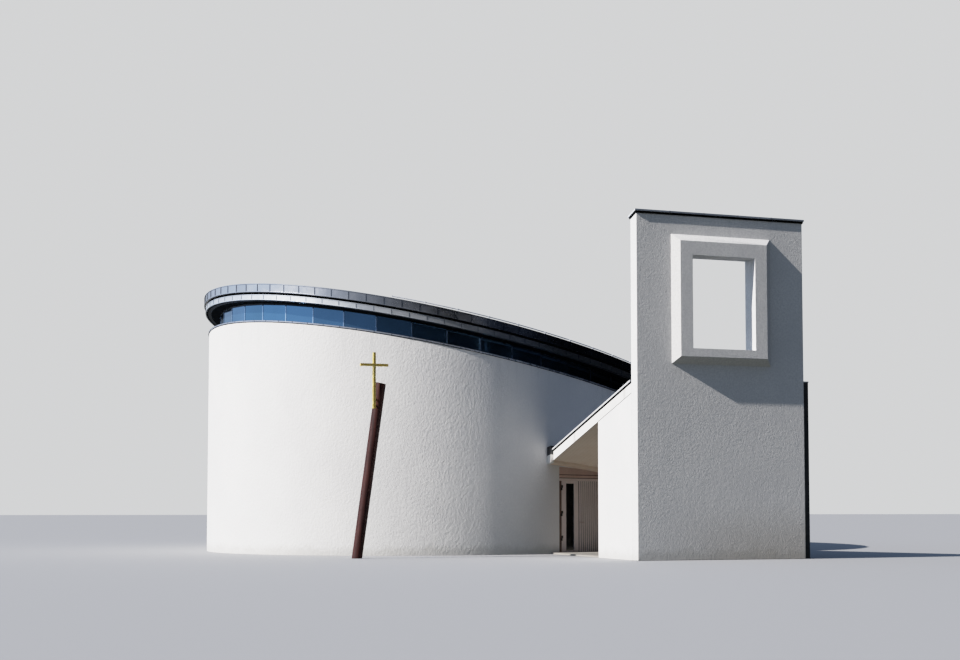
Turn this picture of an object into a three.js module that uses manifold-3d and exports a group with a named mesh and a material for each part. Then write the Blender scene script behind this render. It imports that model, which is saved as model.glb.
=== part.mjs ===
// Modern village church: an oval nave under a tilted roof, a bell wall and a lean-to porch.
// Millimetres, +Z up. X runs along the front of the bell wall, Y runs back towards the nave.

import * as THREE from 'three';
import { mergeVertices } from 'three/addons/utils/BufferGeometryUtils.js';
import Module from 'manifold-3d';

const wasm = await Module();
wasm.setup();

const DEG = Math.PI / 180;

// Gap between pieces that touch
const GAP = 0.3;

// How far cutting solids reach past the piece they cut
const CUT_MARGIN = 100;

// Corners closer than this become one when solids are joined or cut
const WELD_DISTANCE = 1e-3;

// Nave plan: an oval, measured at the outer face of its wall and turned from +X
const NAVE_X = -414;
const NAVE_Y = 16221;
const NAVE_HALF_LENGTH = 11140;
const NAVE_HALF_WIDTH = 8340;
const NAVE_TURN = 41.4;
const WALL_THICKNESS = 525;
const WALL_SEGMENTS = 10;
const WALL_JOINT_ANGLE = 0.0015;
const SEGMENT_FACETS = 10;
const FLOOR_HEIGHT = 50;

// Steps for distances along the oval, in degrees, and halvings when a place on it is searched
const LENGTH_STEP = 0.05;
const SEARCH_HALVINGS = 50;

// Tilted wall head and roof: height over the middle of the nave, and rise along X and Y
const WALL_HEAD = { height: 6044, alongX: -0.1738, alongY: -0.0159 };
const EAVES = { height: 6774, alongX: -0.1798, alongY: -0.0065 };
const ROOF_TOP = { height: 7280, alongX: -0.1815, alongY: -0.0085 };

// Edge of the nave roof: distances outside the wall face, and heights over the eaves
const RING_STEPS = 96;
const COPING_OVERHANG = 25;
const COPING_HEIGHT = 70;
const COPING_TO_GLAZING = 12;
const RIM_CORE_OVERHANG = 110;
const LOWER_FASCIA_OVERHANG = 143;
const LOWER_FASCIA_HEIGHT = 175;
const UPPER_FASCIA_OVERHANG = 192;
const UPPER_FASCIA_START = 250;
const SOFFIT_RECESS = 12;
const SOFFIT_THICKNESS = 30;
const DECK_TOP = 400;
const COVERING_DROP = 12;

// Window band, set back from the wall face: wide panels on the low side, narrower ones on the high side
const GLAZING_SETBACK = 375;
const FRAME_DEPTH = 60;
const GLASS_THICKNESS = 26;
const FIRST_PANEL_FACING = -110.15;
const WIDE_PANELS = 22;
const WIDE_PANEL_LENGTH = 1166;
const NARROW_PANELS = 31;
const MULLION_WIDTH = 36;
const SILL_RAIL = 95;
const HEAD_RAIL = 40;

// Snow guard along the low side of the roof
const GUARD_OVERHANG = 45;
const GUARD_WIDTH = 36;
const GUARD_BOTTOM = 55;
const GUARD_TOP = 95;
const GUARD_START = -106.03;
const GUARD_POSTS = 36;
const GUARD_POST_SPACING = 1080;
const GUARD_POST_WIDTH = 22;
const GUARD_POST_INSET = 4;
const GUARD_ARC_STEPS = 74;

// Bell wall
const BELL_WALL_WIDTH = 5490;
const BELL_WALL_THICKNESS = 420;
const BELL_WALL_HEIGHT = 10160;
const BELL_WALL_TOP_FALL = 0.268;
const BELL_COPING_OVERHANG = 50;
const BELL_COPING_THICKNESS = 75;
const BELFRY_OPENING = { left: 1720, right: 3770, bottom: 6210, top: 8970 };
const BELFRY_FRAME = { left: 1110, right: 4380, bottom: 5750, top: 9600 };
const BELFRY_PROJECTION = 210;
const BELFRY_SPLAY = 210;

// Porch: its roof falls from the bell wall back to the nave
const PORCH_ROOF = { height: 5200, startY: 430, fall: 0.276 };
const PORCH_WALL_THICKNESS = 300;
const PORCH_WALL_END = 2960;
const PORCH_FASCIA_TOP = -22;
const PORCH_FASCIA_BOTTOM = -305;
const PORCH_FASCIA_THICKNESS = 30;
const PORCH_SHEET_BOTTOM = 35;
const PORCH_SHEET_TOP = 70;
const PORCH_SHEET_OVERHANG = 40;
const PORCH_SOFFIT_THICKNESS = 25;
const PORCH_ARC_STEPS = 24;
const PORCH_FLOOR_ARC_STEPS = 48;
const GUTTER_WIDTH = 200;
const GUTTER_OVERHANG = 160;
const GUTTER_TOP = 170;
const GUTTER_BOTTOM = -120;
const GUTTER_SHEET = 15;
const GUTTER_END_ANGLE = 0.1;
const GUTTER_END_CLEARANCE = 10;
const GUTTER_ARC_STEPS = 48;
const GUTTER_BOXING_BOTTOM = -390;
const DARK_WALL_WIDTH = 300;
const DARK_WALL_START = 250;
const DARK_WALL_PARAPET = 90;

// Room beside the curved nave wall and gutter, whose facets are flat
const PORCH_FLOOR_CLEARANCE = 1;
const THRESHOLD_CLEARANCE = 2;
const DARK_WALL_CLEARANCE = 5;
const PORCH_ROOF_CLEARANCE = 4;

// Entrance in the nave wall, measured along the straight line between its jambs
const DOOR_START_FACING = -71.26;
const DOOR_WIDTH = 2300;
const DOOR_HEAD_LEFT = 2930;
const DOOR_HEAD_FALL = 0.051;
const DOOR_ARC_STEPS = 6;
const THRESHOLD_END_ANGLE = 1;
const JAMB_WIDTH = 177;
const JAMB_SETBACK = 70;
const JAMB_DEPTH = 130;
const HEAD_RAIL_BOTTOM = 2450;
const HEAD_RAIL_TOP = 2530;
const HEADER_PANEL_RECESS = 15;
const LEAF_CLEARANCE = 6;
const LEAF_SETBACK = 76;
const LEAF_THICKNESS = 60;
const LEAF_BOTTOM = 57;
const GLAZED_LEAF_WIDTH = 812;
const DOOR_GLASS = { left: 395, right: 787, bottom: 95, top: 2364 };
const DOOR_GLASS_THICKNESS = 20;
const RIB_PITCH = 98;
const GROOVE_WIDTH = 44;
const GROOVE_DEPTH = 12;
const HINGE_HEIGHTS = [515, 1346, 2213];
const HINGE_RADIUS = 12;
const HINGE_HALF_LENGTH = 84;
const HINGE_SETBACK = 50;
const HINGE_PLATE = 45;
const HINGE_PLATE_SINK = 5;
const HINGE_SIDES = 12;
const HANDLE_HEIGHT = 1050;
const HANDLE_THICKNESS = 22;
const HANDLE_LEVER_LENGTH = 120;
const HANDLE_LEVER_DISTANCE = 45;

// Leaning column with its cross, standing in front of the nave
const COLUMN_X = -7210;
const COLUMN_Y = 4650;
const COLUMN_FACING = -18;
const COLUMN_RADIUS = 160;
const COLUMN_HEIGHT = 5325;
const COLUMN_TOP_FALL = 0.2;
const COLUMN_LEAN = 0.1317;
const COLUMN_SIDES = 32;
const CROSS_FACING = 0;
const CROSS_BAR = 76;
const CROSS_DEPTH = 143;
const CROSS_TO_COLUMN = 70;
const CROSS_OFFSET = 518;
const CROSS_BOTTOM = 4532;
const CROSS_TOP = 6236;
const CROSS_ARM_HEIGHT = 5856;
const CROSS_ARM_LENGTH = 862;
const CROSS_BRACKETS = [4620, 4820];
const CROSS_BRACKET_SIZE = 40;

const FRONT_Y = -BELFRY_PROJECTION;
const BACK_Y = navePoint(UPPER_FASCIA_OVERHANG, 90).y;

const finish = (color, roughness, metalness) =>
  new THREE.MeshStandardMaterial({ color, roughness, metalness });

const MATERIALS = {
  plaster: finish(0xe9e7e2, 0.9, 0),
  roofMetal: finish(0x9aa0ab, 0.45, 0.8),
  brightMetal: finish(0xc3c7cf, 0.35, 0.85),
  darkMetal: finish(0x1d2024, 0.5, 0.5),
  darkSoffit: finish(0x25262a, 0.7, 0),
  roofCore: finish(0x3a352f, 0.8, 0),
  windowFrame: finish(0x8b93a0, 0.4, 0.8),
  windowGlass: finish(0x2b4a78, 0.08, 0),
  floor: finish(0x8e8a83, 0.8, 0),
  whiteBoard: finish(0xecebe7, 0.7, 0),
  doorWood: finish(0x8d7468, 0.6, 0),
  doorGlass: finish(0x14171b, 0.08, 0),
  columnRust: finish(0x4a201b, 0.6, 0.2),
  gold: finish(0xd9a62e, 0.3, 0.9),
};

const church = new THREE.Group();
church.position.set(-NAVE_X, -(BACK_Y + FRONT_Y) / 2, 0);

function addPiece(parent, name, geometry, material) {
  const mesh = new THREE.Mesh(geometry, material);
  mesh.name = name;
  parent.add(mesh);
}

// Heights as functions of the place in plan

function navePlane({ height, alongX, alongY }, lift = 0) {
  return (x, y) => height + lift + alongX * (x - NAVE_X) + alongY * (y - NAVE_Y);
}

function porchPlane(lift = 0) {
  return (x, y) => PORCH_ROOF.height + lift - PORCH_ROOF.fall * (y - PORCH_ROOF.startY);
}

function level(height) {
  return () => height;
}

// Half the width of the oval in a direction that makes this angle with its long axis
function naveReach(direction) {
  return Math.hypot(NAVE_HALF_LENGTH * Math.cos(direction), NAVE_HALF_WIDTH * Math.sin(direction));
}

// Where the nave wall faces a direction, in degrees from +X, moved outwards by an offset
function navePoint(offset, facing) {
  const direction = (facing - NAVE_TURN) * DEG;
  const reach = naveReach(direction);
  const along = (NAVE_HALF_LENGTH ** 2 / reach + offset) * Math.cos(direction);
  const across = (NAVE_HALF_WIDTH ** 2 / reach + offset) * Math.sin(direction);
  const turnCos = Math.cos(NAVE_TURN * DEG);
  const turnSin = Math.sin(NAVE_TURN * DEG);
  const x = NAVE_X + along * turnCos - across * turnSin;
  const y = NAVE_Y + along * turnSin + across * turnCos;
  return new THREE.Vector2(x, y);
}

// Length of a small stretch round the nave in which its facing turns by a step
function naveStretch(offset, facing, step) {
  const direction = (facing + step / 2 - NAVE_TURN) * DEG;
  const curveRadius = (NAVE_HALF_LENGTH * NAVE_HALF_WIDTH) ** 2 / naveReach(direction) ** 3;
  return (curveRadius + offset) * step * DEG;
}

// The facing that is reached after a distance round the nave
function facingAfter(offset, start, distance) {
  let facing = start;
  let rest = distance;
  while (rest > 0) {
    const stretch = naveStretch(offset, facing, LENGTH_STEP);
    facing += LENGTH_STEP * Math.min(1, rest / stretch);
    rest -= stretch;
  }
  return facing;
}

function naveLength(offset) {
  let length = 0;
  for (let facing = 0; facing < 360; facing += LENGTH_STEP) {
    length += naveStretch(offset, facing, LENGTH_STEP);
  }
  return length;
}

// Points along the nave at an offset outside its wall face, between two facings
function naveArc(offset, from, to, steps) {
  const points = [];
  for (let i = 0; i <= steps; i += 1) {
    points.push(navePoint(offset, from + ((to - from) * i) / steps));
  }
  return points;
}

function naveRing(offset) {
  return naveArc(offset, 0, 360, RING_STEPS).slice(0, RING_STEPS);
}

// A stretch of ring between two offsets
function naveSector(inner, outer, from, to, steps) {
  return [...naveArc(outer, from, to, steps), ...naveArc(inner, to, from, steps)];
}

// The facing at which a line round the nave crosses a line of constant X, on the front side
function naveFrontFacing(x, offset) {
  let low = -180;
  let high = 0;
  for (let i = 0; i < SEARCH_HALVINGS; i += 1) {
    const middle = (low + high) / 2;
    if (navePoint(offset, middle).x < x) {
      low = middle;
    } else {
      high = middle;
    }
  }
  return low;
}

function naveFrontY(x, offset) {
  return navePoint(offset, naveFrontFacing(x, offset)).y;
}

function rectangle(left, right, near, far) {
  return [
    new THREE.Vector2(left, near),
    new THREE.Vector2(right, near),
    new THREE.Vector2(right, far),
    new THREE.Vector2(left, far),
  ];
}

// An upright solid over a plan outline, whose bottom and top follow height functions
function prism(outline, bottom, top, hole = null) {
  const shape = new THREE.Shape(outline);
  if (hole) {
    shape.holes.push(new THREE.Path(hole));
  }
  const geometry = new THREE.ExtrudeGeometry(shape, { depth: 1, bevelEnabled: false });
  const position = geometry.attributes.position;
  for (let i = 0; i < position.count; i += 1) {
    const x = position.getX(i);
    const y = position.getY(i);
    const height = position.getZ(i) > 0.5 ? top(x, y) : bottom(x, y);
    position.setZ(i, height);
  }
  geometry.computeVertexNormals();
  return geometry;
}

function block(left, right, near, far, bottom, top) {
  return prism(rectangle(left, right, near, far), level(bottom), level(top));
}

// Solid joining and cutting

function toSolid(geometry) {
  const bare = geometry.clone();
  bare.deleteAttribute('normal');
  bare.deleteAttribute('uv');
  const merged = mergeVertices(bare, WELD_DISTANCE);
  return new wasm.Manifold(
    new wasm.Mesh({
      numProp: 3,
      vertProperties: new Float32Array(merged.attributes.position.array),
      triVerts: new Uint32Array(merged.index.array),
    }),
  );
}

function toGeometry(solid) {
  const mesh = solid.getMesh();
  const geometry = new THREE.BufferGeometry();
  geometry.setAttribute('position', new THREE.BufferAttribute(new Float32Array(mesh.vertProperties), 3));
  geometry.setIndex(new THREE.BufferAttribute(new Uint32Array(mesh.triVerts), 1));
  geometry.computeVertexNormals();
  return geometry;
}

function cut(geometry, ...tools) {
  return toGeometry(tools.reduce((solid, tool) => solid.subtract(toSolid(tool)), toSolid(geometry)));
}

function join(...geometries) {
  return toGeometry(geometries.map(toSolid).reduce((sum, solid) => sum.add(solid)));
}

// The doorway's own frame: x along the line between the jambs, y inwards, z up

const doorStart = navePoint(0, DOOR_START_FACING);
const doorEndFacing = findDoorEnd();
const doorSpan = doorEndFacing - DOOR_START_FACING;
const doorX = navePoint(0, doorEndFacing).sub(doorStart).normalize();
const doorTurn = doorX.angle() / DEG;

// The facing at which the straight line over the doorway meets the wall face again
function findDoorEnd() {
  const curved = facingAfter(0, DOOR_START_FACING, DOOR_WIDTH);
  const straight = navePoint(0, curved).distanceTo(doorStart);
  return facingAfter(0, curved, DOOR_WIDTH - straight);
}

const doorGroup = new THREE.Group();
doorGroup.position.set(doorStart.x, doorStart.y, 0);
doorGroup.rotation.z = doorTurn * DEG;
church.add(doorGroup);

function doorHead(x, y) {
  const along = (x - doorStart.x) * doorX.x + (y - doorStart.y) * doorX.y;
  return DOOR_HEAD_LEFT - DOOR_HEAD_FALL * along;
}

// The space of the doorway as a solid in the church's frame
function doorwayTool(left, right) {
  const plan = rectangle(left, right, -CUT_MARGIN, WALL_THICKNESS + CUT_MARGIN);
  const tool = prism(plan, level(-CUT_MARGIN), (x) => DOOR_HEAD_LEFT - DOOR_HEAD_FALL * x);
  tool.rotateZ(doorTurn * DEG);
  tool.translate(doorStart.x, doorStart.y, 0);
  return tool;
}

// Nave walls

function naveWalls() {
  const span = (360 - doorSpan) / WALL_SEGMENTS;
  const doorway = doorwayTool(0, DOOR_WIDTH);
  for (let i = 0; i < WALL_SEGMENTS; i += 1) {
    const from = doorEndFacing + span * i + WALL_JOINT_ANGLE;
    const to = doorEndFacing + span * (i + 1) - WALL_JOINT_ANGLE;
    const outline = naveSector(-WALL_THICKNESS, 0, from, to, SEGMENT_FACETS);
    const wall = prism(outline, level(0), navePlane(WALL_HEAD));
    const besideDoor = i === 0 || i === WALL_SEGMENTS - 1;
    const name = `nave_wall_${String(i + 1).padStart(2, '0')}`;
    addPiece(church, name, besideDoor ? cut(wall, doorway) : wall, MATERIALS.plaster);
  }
  const left = DOOR_START_FACING + WALL_JOINT_ANGLE;
  const right = doorEndFacing - WALL_JOINT_ANGLE;
  const overDoor = naveSector(-WALL_THICKNESS, 0, left, right, DOOR_ARC_STEPS);
  const wallOverDoor = prism(overDoor, doorHead, navePlane(WALL_HEAD));
  addPiece(church, 'nave_wall_over_door', wallOverDoor, MATERIALS.plaster);
}

// The floor's corners lie beside those of the walls, so that their facets run side by side
function naveFloor() {
  const offset = -WALL_THICKNESS - GAP;
  const facets = WALL_SEGMENTS * SEGMENT_FACETS;
  const outline = [
    ...naveArc(offset, DOOR_START_FACING, doorEndFacing, DOOR_ARC_STEPS).slice(1),
    ...naveArc(offset, doorEndFacing, DOOR_START_FACING + 360, facets).slice(1),
  ];
  addPiece(church, 'nave_floor', prism(outline, level(0), level(FLOOR_HEIGHT)), MATERIALS.floor);
}

function wallCoping() {
  const outer = naveRing(COPING_OVERHANG);
  const inner = naveRing(COPING_TO_GLAZING - GLAZING_SETBACK);
  const coping = prism(outer, navePlane(WALL_HEAD, GAP), navePlane(WALL_HEAD, COPING_HEIGHT), inner);
  addPiece(church, 'wall_coping', coping, MATERIALS.brightMetal);
}

// Window band

function panelFacings() {
  const narrowLength = (naveLength(-GLAZING_SETBACK) - WIDE_PANELS * WIDE_PANEL_LENGTH) / NARROW_PANELS;
  const facings = [FIRST_PANEL_FACING];
  while (facings.length < WIDE_PANELS + NARROW_PANELS) {
    const length = facings.length <= WIDE_PANELS ? WIDE_PANEL_LENGTH : narrowLength;
    facings.push(facingAfter(-GLAZING_SETBACK, facings.at(-1), length));
  }
  return facings;
}

function panelOutline(facings, offset) {
  return facings.map((facing) => navePoint(offset, facing));
}

function windowTool(from, to) {
  const start = navePoint(-GLAZING_SETBACK, from);
  const end = navePoint(-GLAZING_SETBACK, to);
  const along = end.clone().sub(start).normalize();
  const outward = new THREE.Vector2(along.y, -along.x);
  const near = start.clone().addScaledVector(along, MULLION_WIDTH / 2);
  const far = end.clone().addScaledVector(along, -MULLION_WIDTH / 2);
  const reach = FRAME_DEPTH * 2;
  const outline = [
    near.clone().addScaledVector(outward, reach),
    far.clone().addScaledVector(outward, reach),
    far.clone().addScaledVector(outward, -reach),
    near.clone().addScaledVector(outward, -reach),
  ];
  return prism(outline.reverse(), navePlane(WALL_HEAD, SILL_RAIL), navePlane(EAVES, -HEAD_RAIL));
}

function windowBand() {
  const facings = panelFacings();
  const bottom = navePlane(WALL_HEAD, GAP);
  const top = navePlane(EAVES, SOFFIT_RECESS - GAP);
  const frameInner = -GLAZING_SETBACK - FRAME_DEPTH;
  const frameHole = panelOutline(facings, frameInner);
  const frameRing = prism(panelOutline(facings, -GLAZING_SETBACK), bottom, top, frameHole);
  const tools = facings.map((facing, i) => {
    const next = i + 1 < facings.length ? facings[i + 1] : facings[0] + 360;
    return windowTool(facing, next);
  });
  addPiece(church, 'clerestory_frame', cut(frameRing, ...tools), MATERIALS.windowFrame);
  const glassOuter = frameInner - GAP;
  const glassInner = glassOuter - GLASS_THICKNESS;
  const glass = prism(panelOutline(facings, glassOuter), bottom, top, panelOutline(facings, glassInner));
  addPiece(church, 'clerestory_glass', glass, MATERIALS.windowGlass);
}

// Nave roof

function naveRoof() {
  const core = naveRing(RIM_CORE_OVERHANG);
  const band = naveRing(RIM_CORE_OVERHANG + GAP);
  const soffitTop = SOFFIT_RECESS + SOFFIT_THICKNESS;
  const soffit = prism(core, navePlane(EAVES, SOFFIT_RECESS), navePlane(EAVES, soffitTop));
  addPiece(church, 'roof_soffit', soffit, MATERIALS.darkSoffit);
  const deck = prism(core, navePlane(EAVES, soffitTop + GAP), navePlane(EAVES, DECK_TOP));
  addPiece(church, 'roof_deck', deck, MATERIALS.roofCore);
  const covering = prism(core, navePlane(EAVES, DECK_TOP + GAP), navePlane(ROOF_TOP, -COVERING_DROP));
  addPiece(church, 'roof_covering', covering, MATERIALS.roofMetal);
  const lowerEdge = naveRing(LOWER_FASCIA_OVERHANG);
  const lower = prism(lowerEdge, navePlane(EAVES), navePlane(EAVES, LOWER_FASCIA_HEIGHT), band);
  addPiece(church, 'lower_fascia', lower, MATERIALS.brightMetal);
  const upperEdge = naveRing(UPPER_FASCIA_OVERHANG);
  const upper = prism(upperEdge, navePlane(EAVES, UPPER_FASCIA_START), navePlane(ROOF_TOP), band);
  addPiece(church, 'upper_fascia', upper, MATERIALS.roofMetal);
}

function snowGuard() {
  const outer = GUARD_OVERHANG + GUARD_WIDTH;
  const postInner = GUARD_OVERHANG + GUARD_POST_INSET;
  const postOuter = outer - GUARD_POST_INSET;
  const posts = [];
  let from = GUARD_START;
  let to = from;
  for (let i = 0; i < GUARD_POSTS; i += 1) {
    to = facingAfter(GUARD_OVERHANG, from, GUARD_POST_WIDTH);
    posts.push(
      prism(
        naveSector(postInner, postOuter, from, to, 1),
        navePlane(ROOF_TOP, GAP - COVERING_DROP),
        navePlane(ROOF_TOP, GUARD_TOP - GUARD_POST_INSET),
      ),
    );
    from = facingAfter(GUARD_OVERHANG, from, GUARD_POST_SPACING);
  }
  const rail = prism(
    naveSector(GUARD_OVERHANG, outer, GUARD_START, to, GUARD_ARC_STEPS),
    navePlane(ROOF_TOP, GUARD_BOTTOM),
    navePlane(ROOF_TOP, GUARD_TOP),
  );
  addPiece(church, 'snow_guard', join(rail, ...posts), MATERIALS.brightMetal);
}

// Bell wall

// A plate standing in the XZ plane from outlines of [x, z], front face at the given Y
function uprightPlate(outline, hole, frontY, thickness) {
  const shape = new THREE.Shape(outline);
  shape.holes.push(new THREE.Path(hole));
  const geometry = new THREE.ExtrudeGeometry(shape, { depth: thickness, bevelEnabled: false });
  geometry.rotateX(Math.PI / 2);
  geometry.translate(0, frontY + thickness, 0);
  return geometry;
}

function frameOutline({ left, right, bottom, top }) {
  return rectangle(left, right, bottom, top);
}

function bellWallTop(lift = 0) {
  return (x, y) => BELL_WALL_HEIGHT + lift - BELL_WALL_TOP_FALL * y;
}

function bellWall() {
  const face = rectangle(0, BELL_WALL_WIDTH, 0, BELL_WALL_HEIGHT);
  const geometry = uprightPlate(face, frameOutline(BELFRY_OPENING), 0, BELL_WALL_THICKNESS);
  const position = geometry.attributes.position;
  const top = bellWallTop();
  for (let i = 0; i < position.count; i += 1) {
    if (position.getZ(i) > BELFRY_OPENING.top) {
      position.setZ(i, top(position.getX(i), position.getY(i)));
    }
  }
  geometry.computeVertexNormals();
  addPiece(church, 'bell_wall', geometry, MATERIALS.plaster);

  const over = BELL_COPING_OVERHANG;
  const plan = rectangle(-over, BELL_WALL_WIDTH + over, -over, BELL_WALL_THICKNESS + over);
  const coping = prism(plan, bellWallTop(GAP), bellWallTop(BELL_COPING_THICKNESS));
  addPiece(church, 'bell_wall_coping', coping, MATERIALS.roofMetal);
}

function belfryFrame() {
  const outline = frameOutline(BELFRY_FRAME);
  const geometry = uprightPlate(outline, frameOutline(BELFRY_OPENING), FRONT_Y, BELFRY_PROJECTION - GAP);
  const position = geometry.attributes.position;
  const middleX = (BELFRY_FRAME.left + BELFRY_FRAME.right) / 2;
  const middleZ = (BELFRY_FRAME.bottom + BELFRY_FRAME.top) / 2;
  for (let i = 0; i < position.count; i += 1) {
    const x = position.getX(i);
    const z = position.getZ(i);
    const isOuter = x < BELFRY_OPENING.left || x > BELFRY_OPENING.right;
    const isFront = position.getY(i) < FRONT_Y / 2;
    if (isOuter && isFront) {
      position.setX(i, x - Math.sign(x - middleX) * BELFRY_SPLAY);
      position.setZ(i, z - Math.sign(z - middleZ) * BELFRY_SPLAY);
    }
  }
  geometry.computeVertexNormals();
  addPiece(church, 'belfry_frame', geometry, MATERIALS.plaster);
}

// Porch

const porchRight = BELL_WALL_WIDTH - GAP;
const porchFront = BELL_WALL_THICKNESS + GAP;

// Plan between the bell wall and a line round the nave
function porchPlan(left, right, offset) {
  const from = naveFrontFacing(right, offset);
  const to = naveFrontFacing(left, offset);
  const curve = naveArc(offset, from, to, PORCH_ARC_STEPS);
  return [new THREE.Vector2(left, porchFront), new THREE.Vector2(right, porchFront), ...curve];
}

function porchWalls() {
  const side = rectangle(0, PORCH_WALL_THICKNESS, porchFront, PORCH_WALL_END);
  const sideWall = prism(side, level(0), porchPlane(PORCH_FASCIA_BOTTOM - GAP));
  addPiece(church, 'porch_side_wall', sideWall, MATERIALS.plaster);

  const left = BELL_WALL_WIDTH + GAP;
  const right = left + DARK_WALL_WIDTH;
  const plan = [
    new THREE.Vector2(left, DARK_WALL_START),
    new THREE.Vector2(right, DARK_WALL_START),
    new THREE.Vector2(right, naveFrontY(right, DARK_WALL_CLEARANCE)),
    new THREE.Vector2(left, naveFrontY(left, DARK_WALL_CLEARANCE)),
  ];
  const darkWall = prism(plan, level(0), porchPlane(DARK_WALL_PARAPET));
  addPiece(church, 'porch_dark_wall', darkWall, MATERIALS.darkMetal);
}

function porchFloor() {
  const inside = PORCH_WALL_THICKNESS + GAP;
  const from = naveFrontFacing(porchRight, PORCH_FLOOR_CLEARANCE);
  const to = naveFrontFacing(0, PORCH_FLOOR_CLEARANCE);
  const curve = naveArc(PORCH_FLOOR_CLEARANCE, from, to, PORCH_FLOOR_ARC_STEPS);
  const plan = [
    new THREE.Vector2(inside, porchFront),
    new THREE.Vector2(porchRight, porchFront),
    ...curve,
    new THREE.Vector2(0, PORCH_WALL_END + GAP),
    new THREE.Vector2(inside, PORCH_WALL_END + GAP),
  ];
  addPiece(church, 'porch_floor', prism(plan, level(0), level(FLOOR_HEIGHT)), MATERIALS.floor);
}

function porchRoof() {
  const edge = GUTTER_WIDTH + PORCH_ROOF_CLEARANCE;
  const fasciaBack = PORCH_FASCIA_THICKNESS + GAP;
  const soffitTop = PORCH_FASCIA_BOTTOM + PORCH_SOFFIT_THICKNESS;
  const soffit = prism(
    porchPlan(fasciaBack, porchRight, edge),
    porchPlane(PORCH_FASCIA_BOTTOM),
    porchPlane(soffitTop),
  );
  addPiece(church, 'porch_soffit', soffit, MATERIALS.whiteBoard);
  const deck = prism(
    porchPlan(fasciaBack, porchRight, edge),
    porchPlane(soffitTop + GAP),
    porchPlane(PORCH_SHEET_BOTTOM - GAP),
  );
  addPiece(church, 'porch_roof_deck', deck, MATERIALS.roofCore);
  const sheet = prism(
    porchPlan(-PORCH_SHEET_OVERHANG, porchRight, edge),
    porchPlane(PORCH_SHEET_BOTTOM),
    porchPlane(PORCH_SHEET_TOP),
  );
  addPiece(church, 'porch_roof_sheet', sheet, MATERIALS.roofMetal);
  const verge = prism(
    porchPlan(0, PORCH_FASCIA_THICKNESS, edge),
    porchPlane(PORCH_FASCIA_BOTTOM),
    porchPlane(PORCH_FASCIA_TOP),
  );
  addPiece(church, 'porch_verge_board', verge, MATERIALS.whiteBoard);
}

function porchGutter() {
  const from = naveFrontFacing(-GUTTER_OVERHANG, 0);
  const to = naveFrontFacing(porchRight - GUTTER_END_CLEARANCE, GUTTER_WIDTH);
  const box = prism(
    naveSector(GAP, GUTTER_WIDTH, from, to, GUTTER_ARC_STEPS),
    porchPlane(GUTTER_BOTTOM),
    porchPlane(GUTTER_TOP),
  );
  const channelInner = GAP + GUTTER_SHEET;
  const channelOuter = GUTTER_WIDTH - GUTTER_SHEET;
  const channelFrom = from + GUTTER_END_ANGLE;
  const channelTo = to - GUTTER_END_ANGLE;
  const channel = prism(
    naveSector(channelInner, channelOuter, channelFrom, channelTo, GUTTER_ARC_STEPS),
    porchPlane(GUTTER_BOTTOM + GUTTER_SHEET),
    porchPlane(GUTTER_TOP + CUT_MARGIN),
  );
  addPiece(church, 'porch_gutter', cut(box, channel), MATERIALS.darkMetal);
  const boxing = prism(
    naveSector(GAP, GUTTER_WIDTH, from, to, GUTTER_ARC_STEPS),
    porchPlane(GUTTER_BOXING_BOTTOM),
    porchPlane(GUTTER_BOTTOM - GAP),
  );
  addPiece(church, 'gutter_boxing', boxing, MATERIALS.whiteBoard);
}

// Entrance door, in the doorway's own frame

const jambFront = JAMB_SETBACK;
const jambBack = JAMB_SETBACK + JAMB_DEPTH;
const leftPivot = JAMB_WIDTH + LEAF_CLEARANCE / 2;
const rightPivot = DOOR_WIDTH - JAMB_WIDTH - LEAF_CLEARANCE / 2;
const leafTop = HEAD_RAIL_BOTTOM - LEAF_CLEARANCE;

// One barrel of a hinge with the plate that fastens it, on the side given by direction
function hingeHalf(pivot, direction, bottom, plateBack) {
  const barrel = new THREE.CylinderGeometry(HINGE_RADIUS, HINGE_RADIUS, HINGE_HALF_LENGTH, HINGE_SIDES);
  barrel.rotateX(Math.PI / 2);
  barrel.translate(pivot, HINGE_SETBACK, bottom + HINGE_HALF_LENGTH / 2);
  const inner = pivot + direction * LEAF_CLEARANCE / 2;
  const outer = pivot + direction * HINGE_PLATE;
  const left = Math.min(inner, outer);
  const right = Math.max(inner, outer);
  const plate = block(left, right, HINGE_SETBACK, plateBack, bottom, bottom + HINGE_HALF_LENGTH);
  return [barrel, plate];
}

function doorFrame() {
  const bottom = FLOOR_HEIGHT + GAP;
  const parts = [
    block(GAP, JAMB_WIDTH, jambFront, jambBack, bottom, HEAD_RAIL_TOP),
    block(DOOR_WIDTH - JAMB_WIDTH, DOOR_WIDTH - GAP, jambFront, jambBack, bottom, HEAD_RAIL_TOP),
    block(GAP, DOOR_WIDTH - GAP, jambFront, jambBack, HEAD_RAIL_BOTTOM, HEAD_RAIL_TOP),
  ];
  for (const height of HINGE_HEIGHTS) {
    const low = height - HINGE_HALF_LENGTH - GAP / 2;
    parts.push(...hingeHalf(leftPivot, -1, low, jambFront + HINGE_PLATE_SINK));
    parts.push(...hingeHalf(rightPivot, 1, low, jambFront + HINGE_PLATE_SINK));
  }
  addPiece(doorGroup, 'door_frame', join(...parts), MATERIALS.doorWood);

  const panel = prism(
    rectangle(GAP, DOOR_WIDTH - GAP, jambFront + HEADER_PANEL_RECESS, jambBack),
    level(HEAD_RAIL_TOP + GAP),
    (x) => DOOR_HEAD_LEFT - DOOR_HEAD_FALL * x - GAP,
  );
  addPiece(doorGroup, 'door_header_panel', panel, MATERIALS.doorWood);
}

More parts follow.
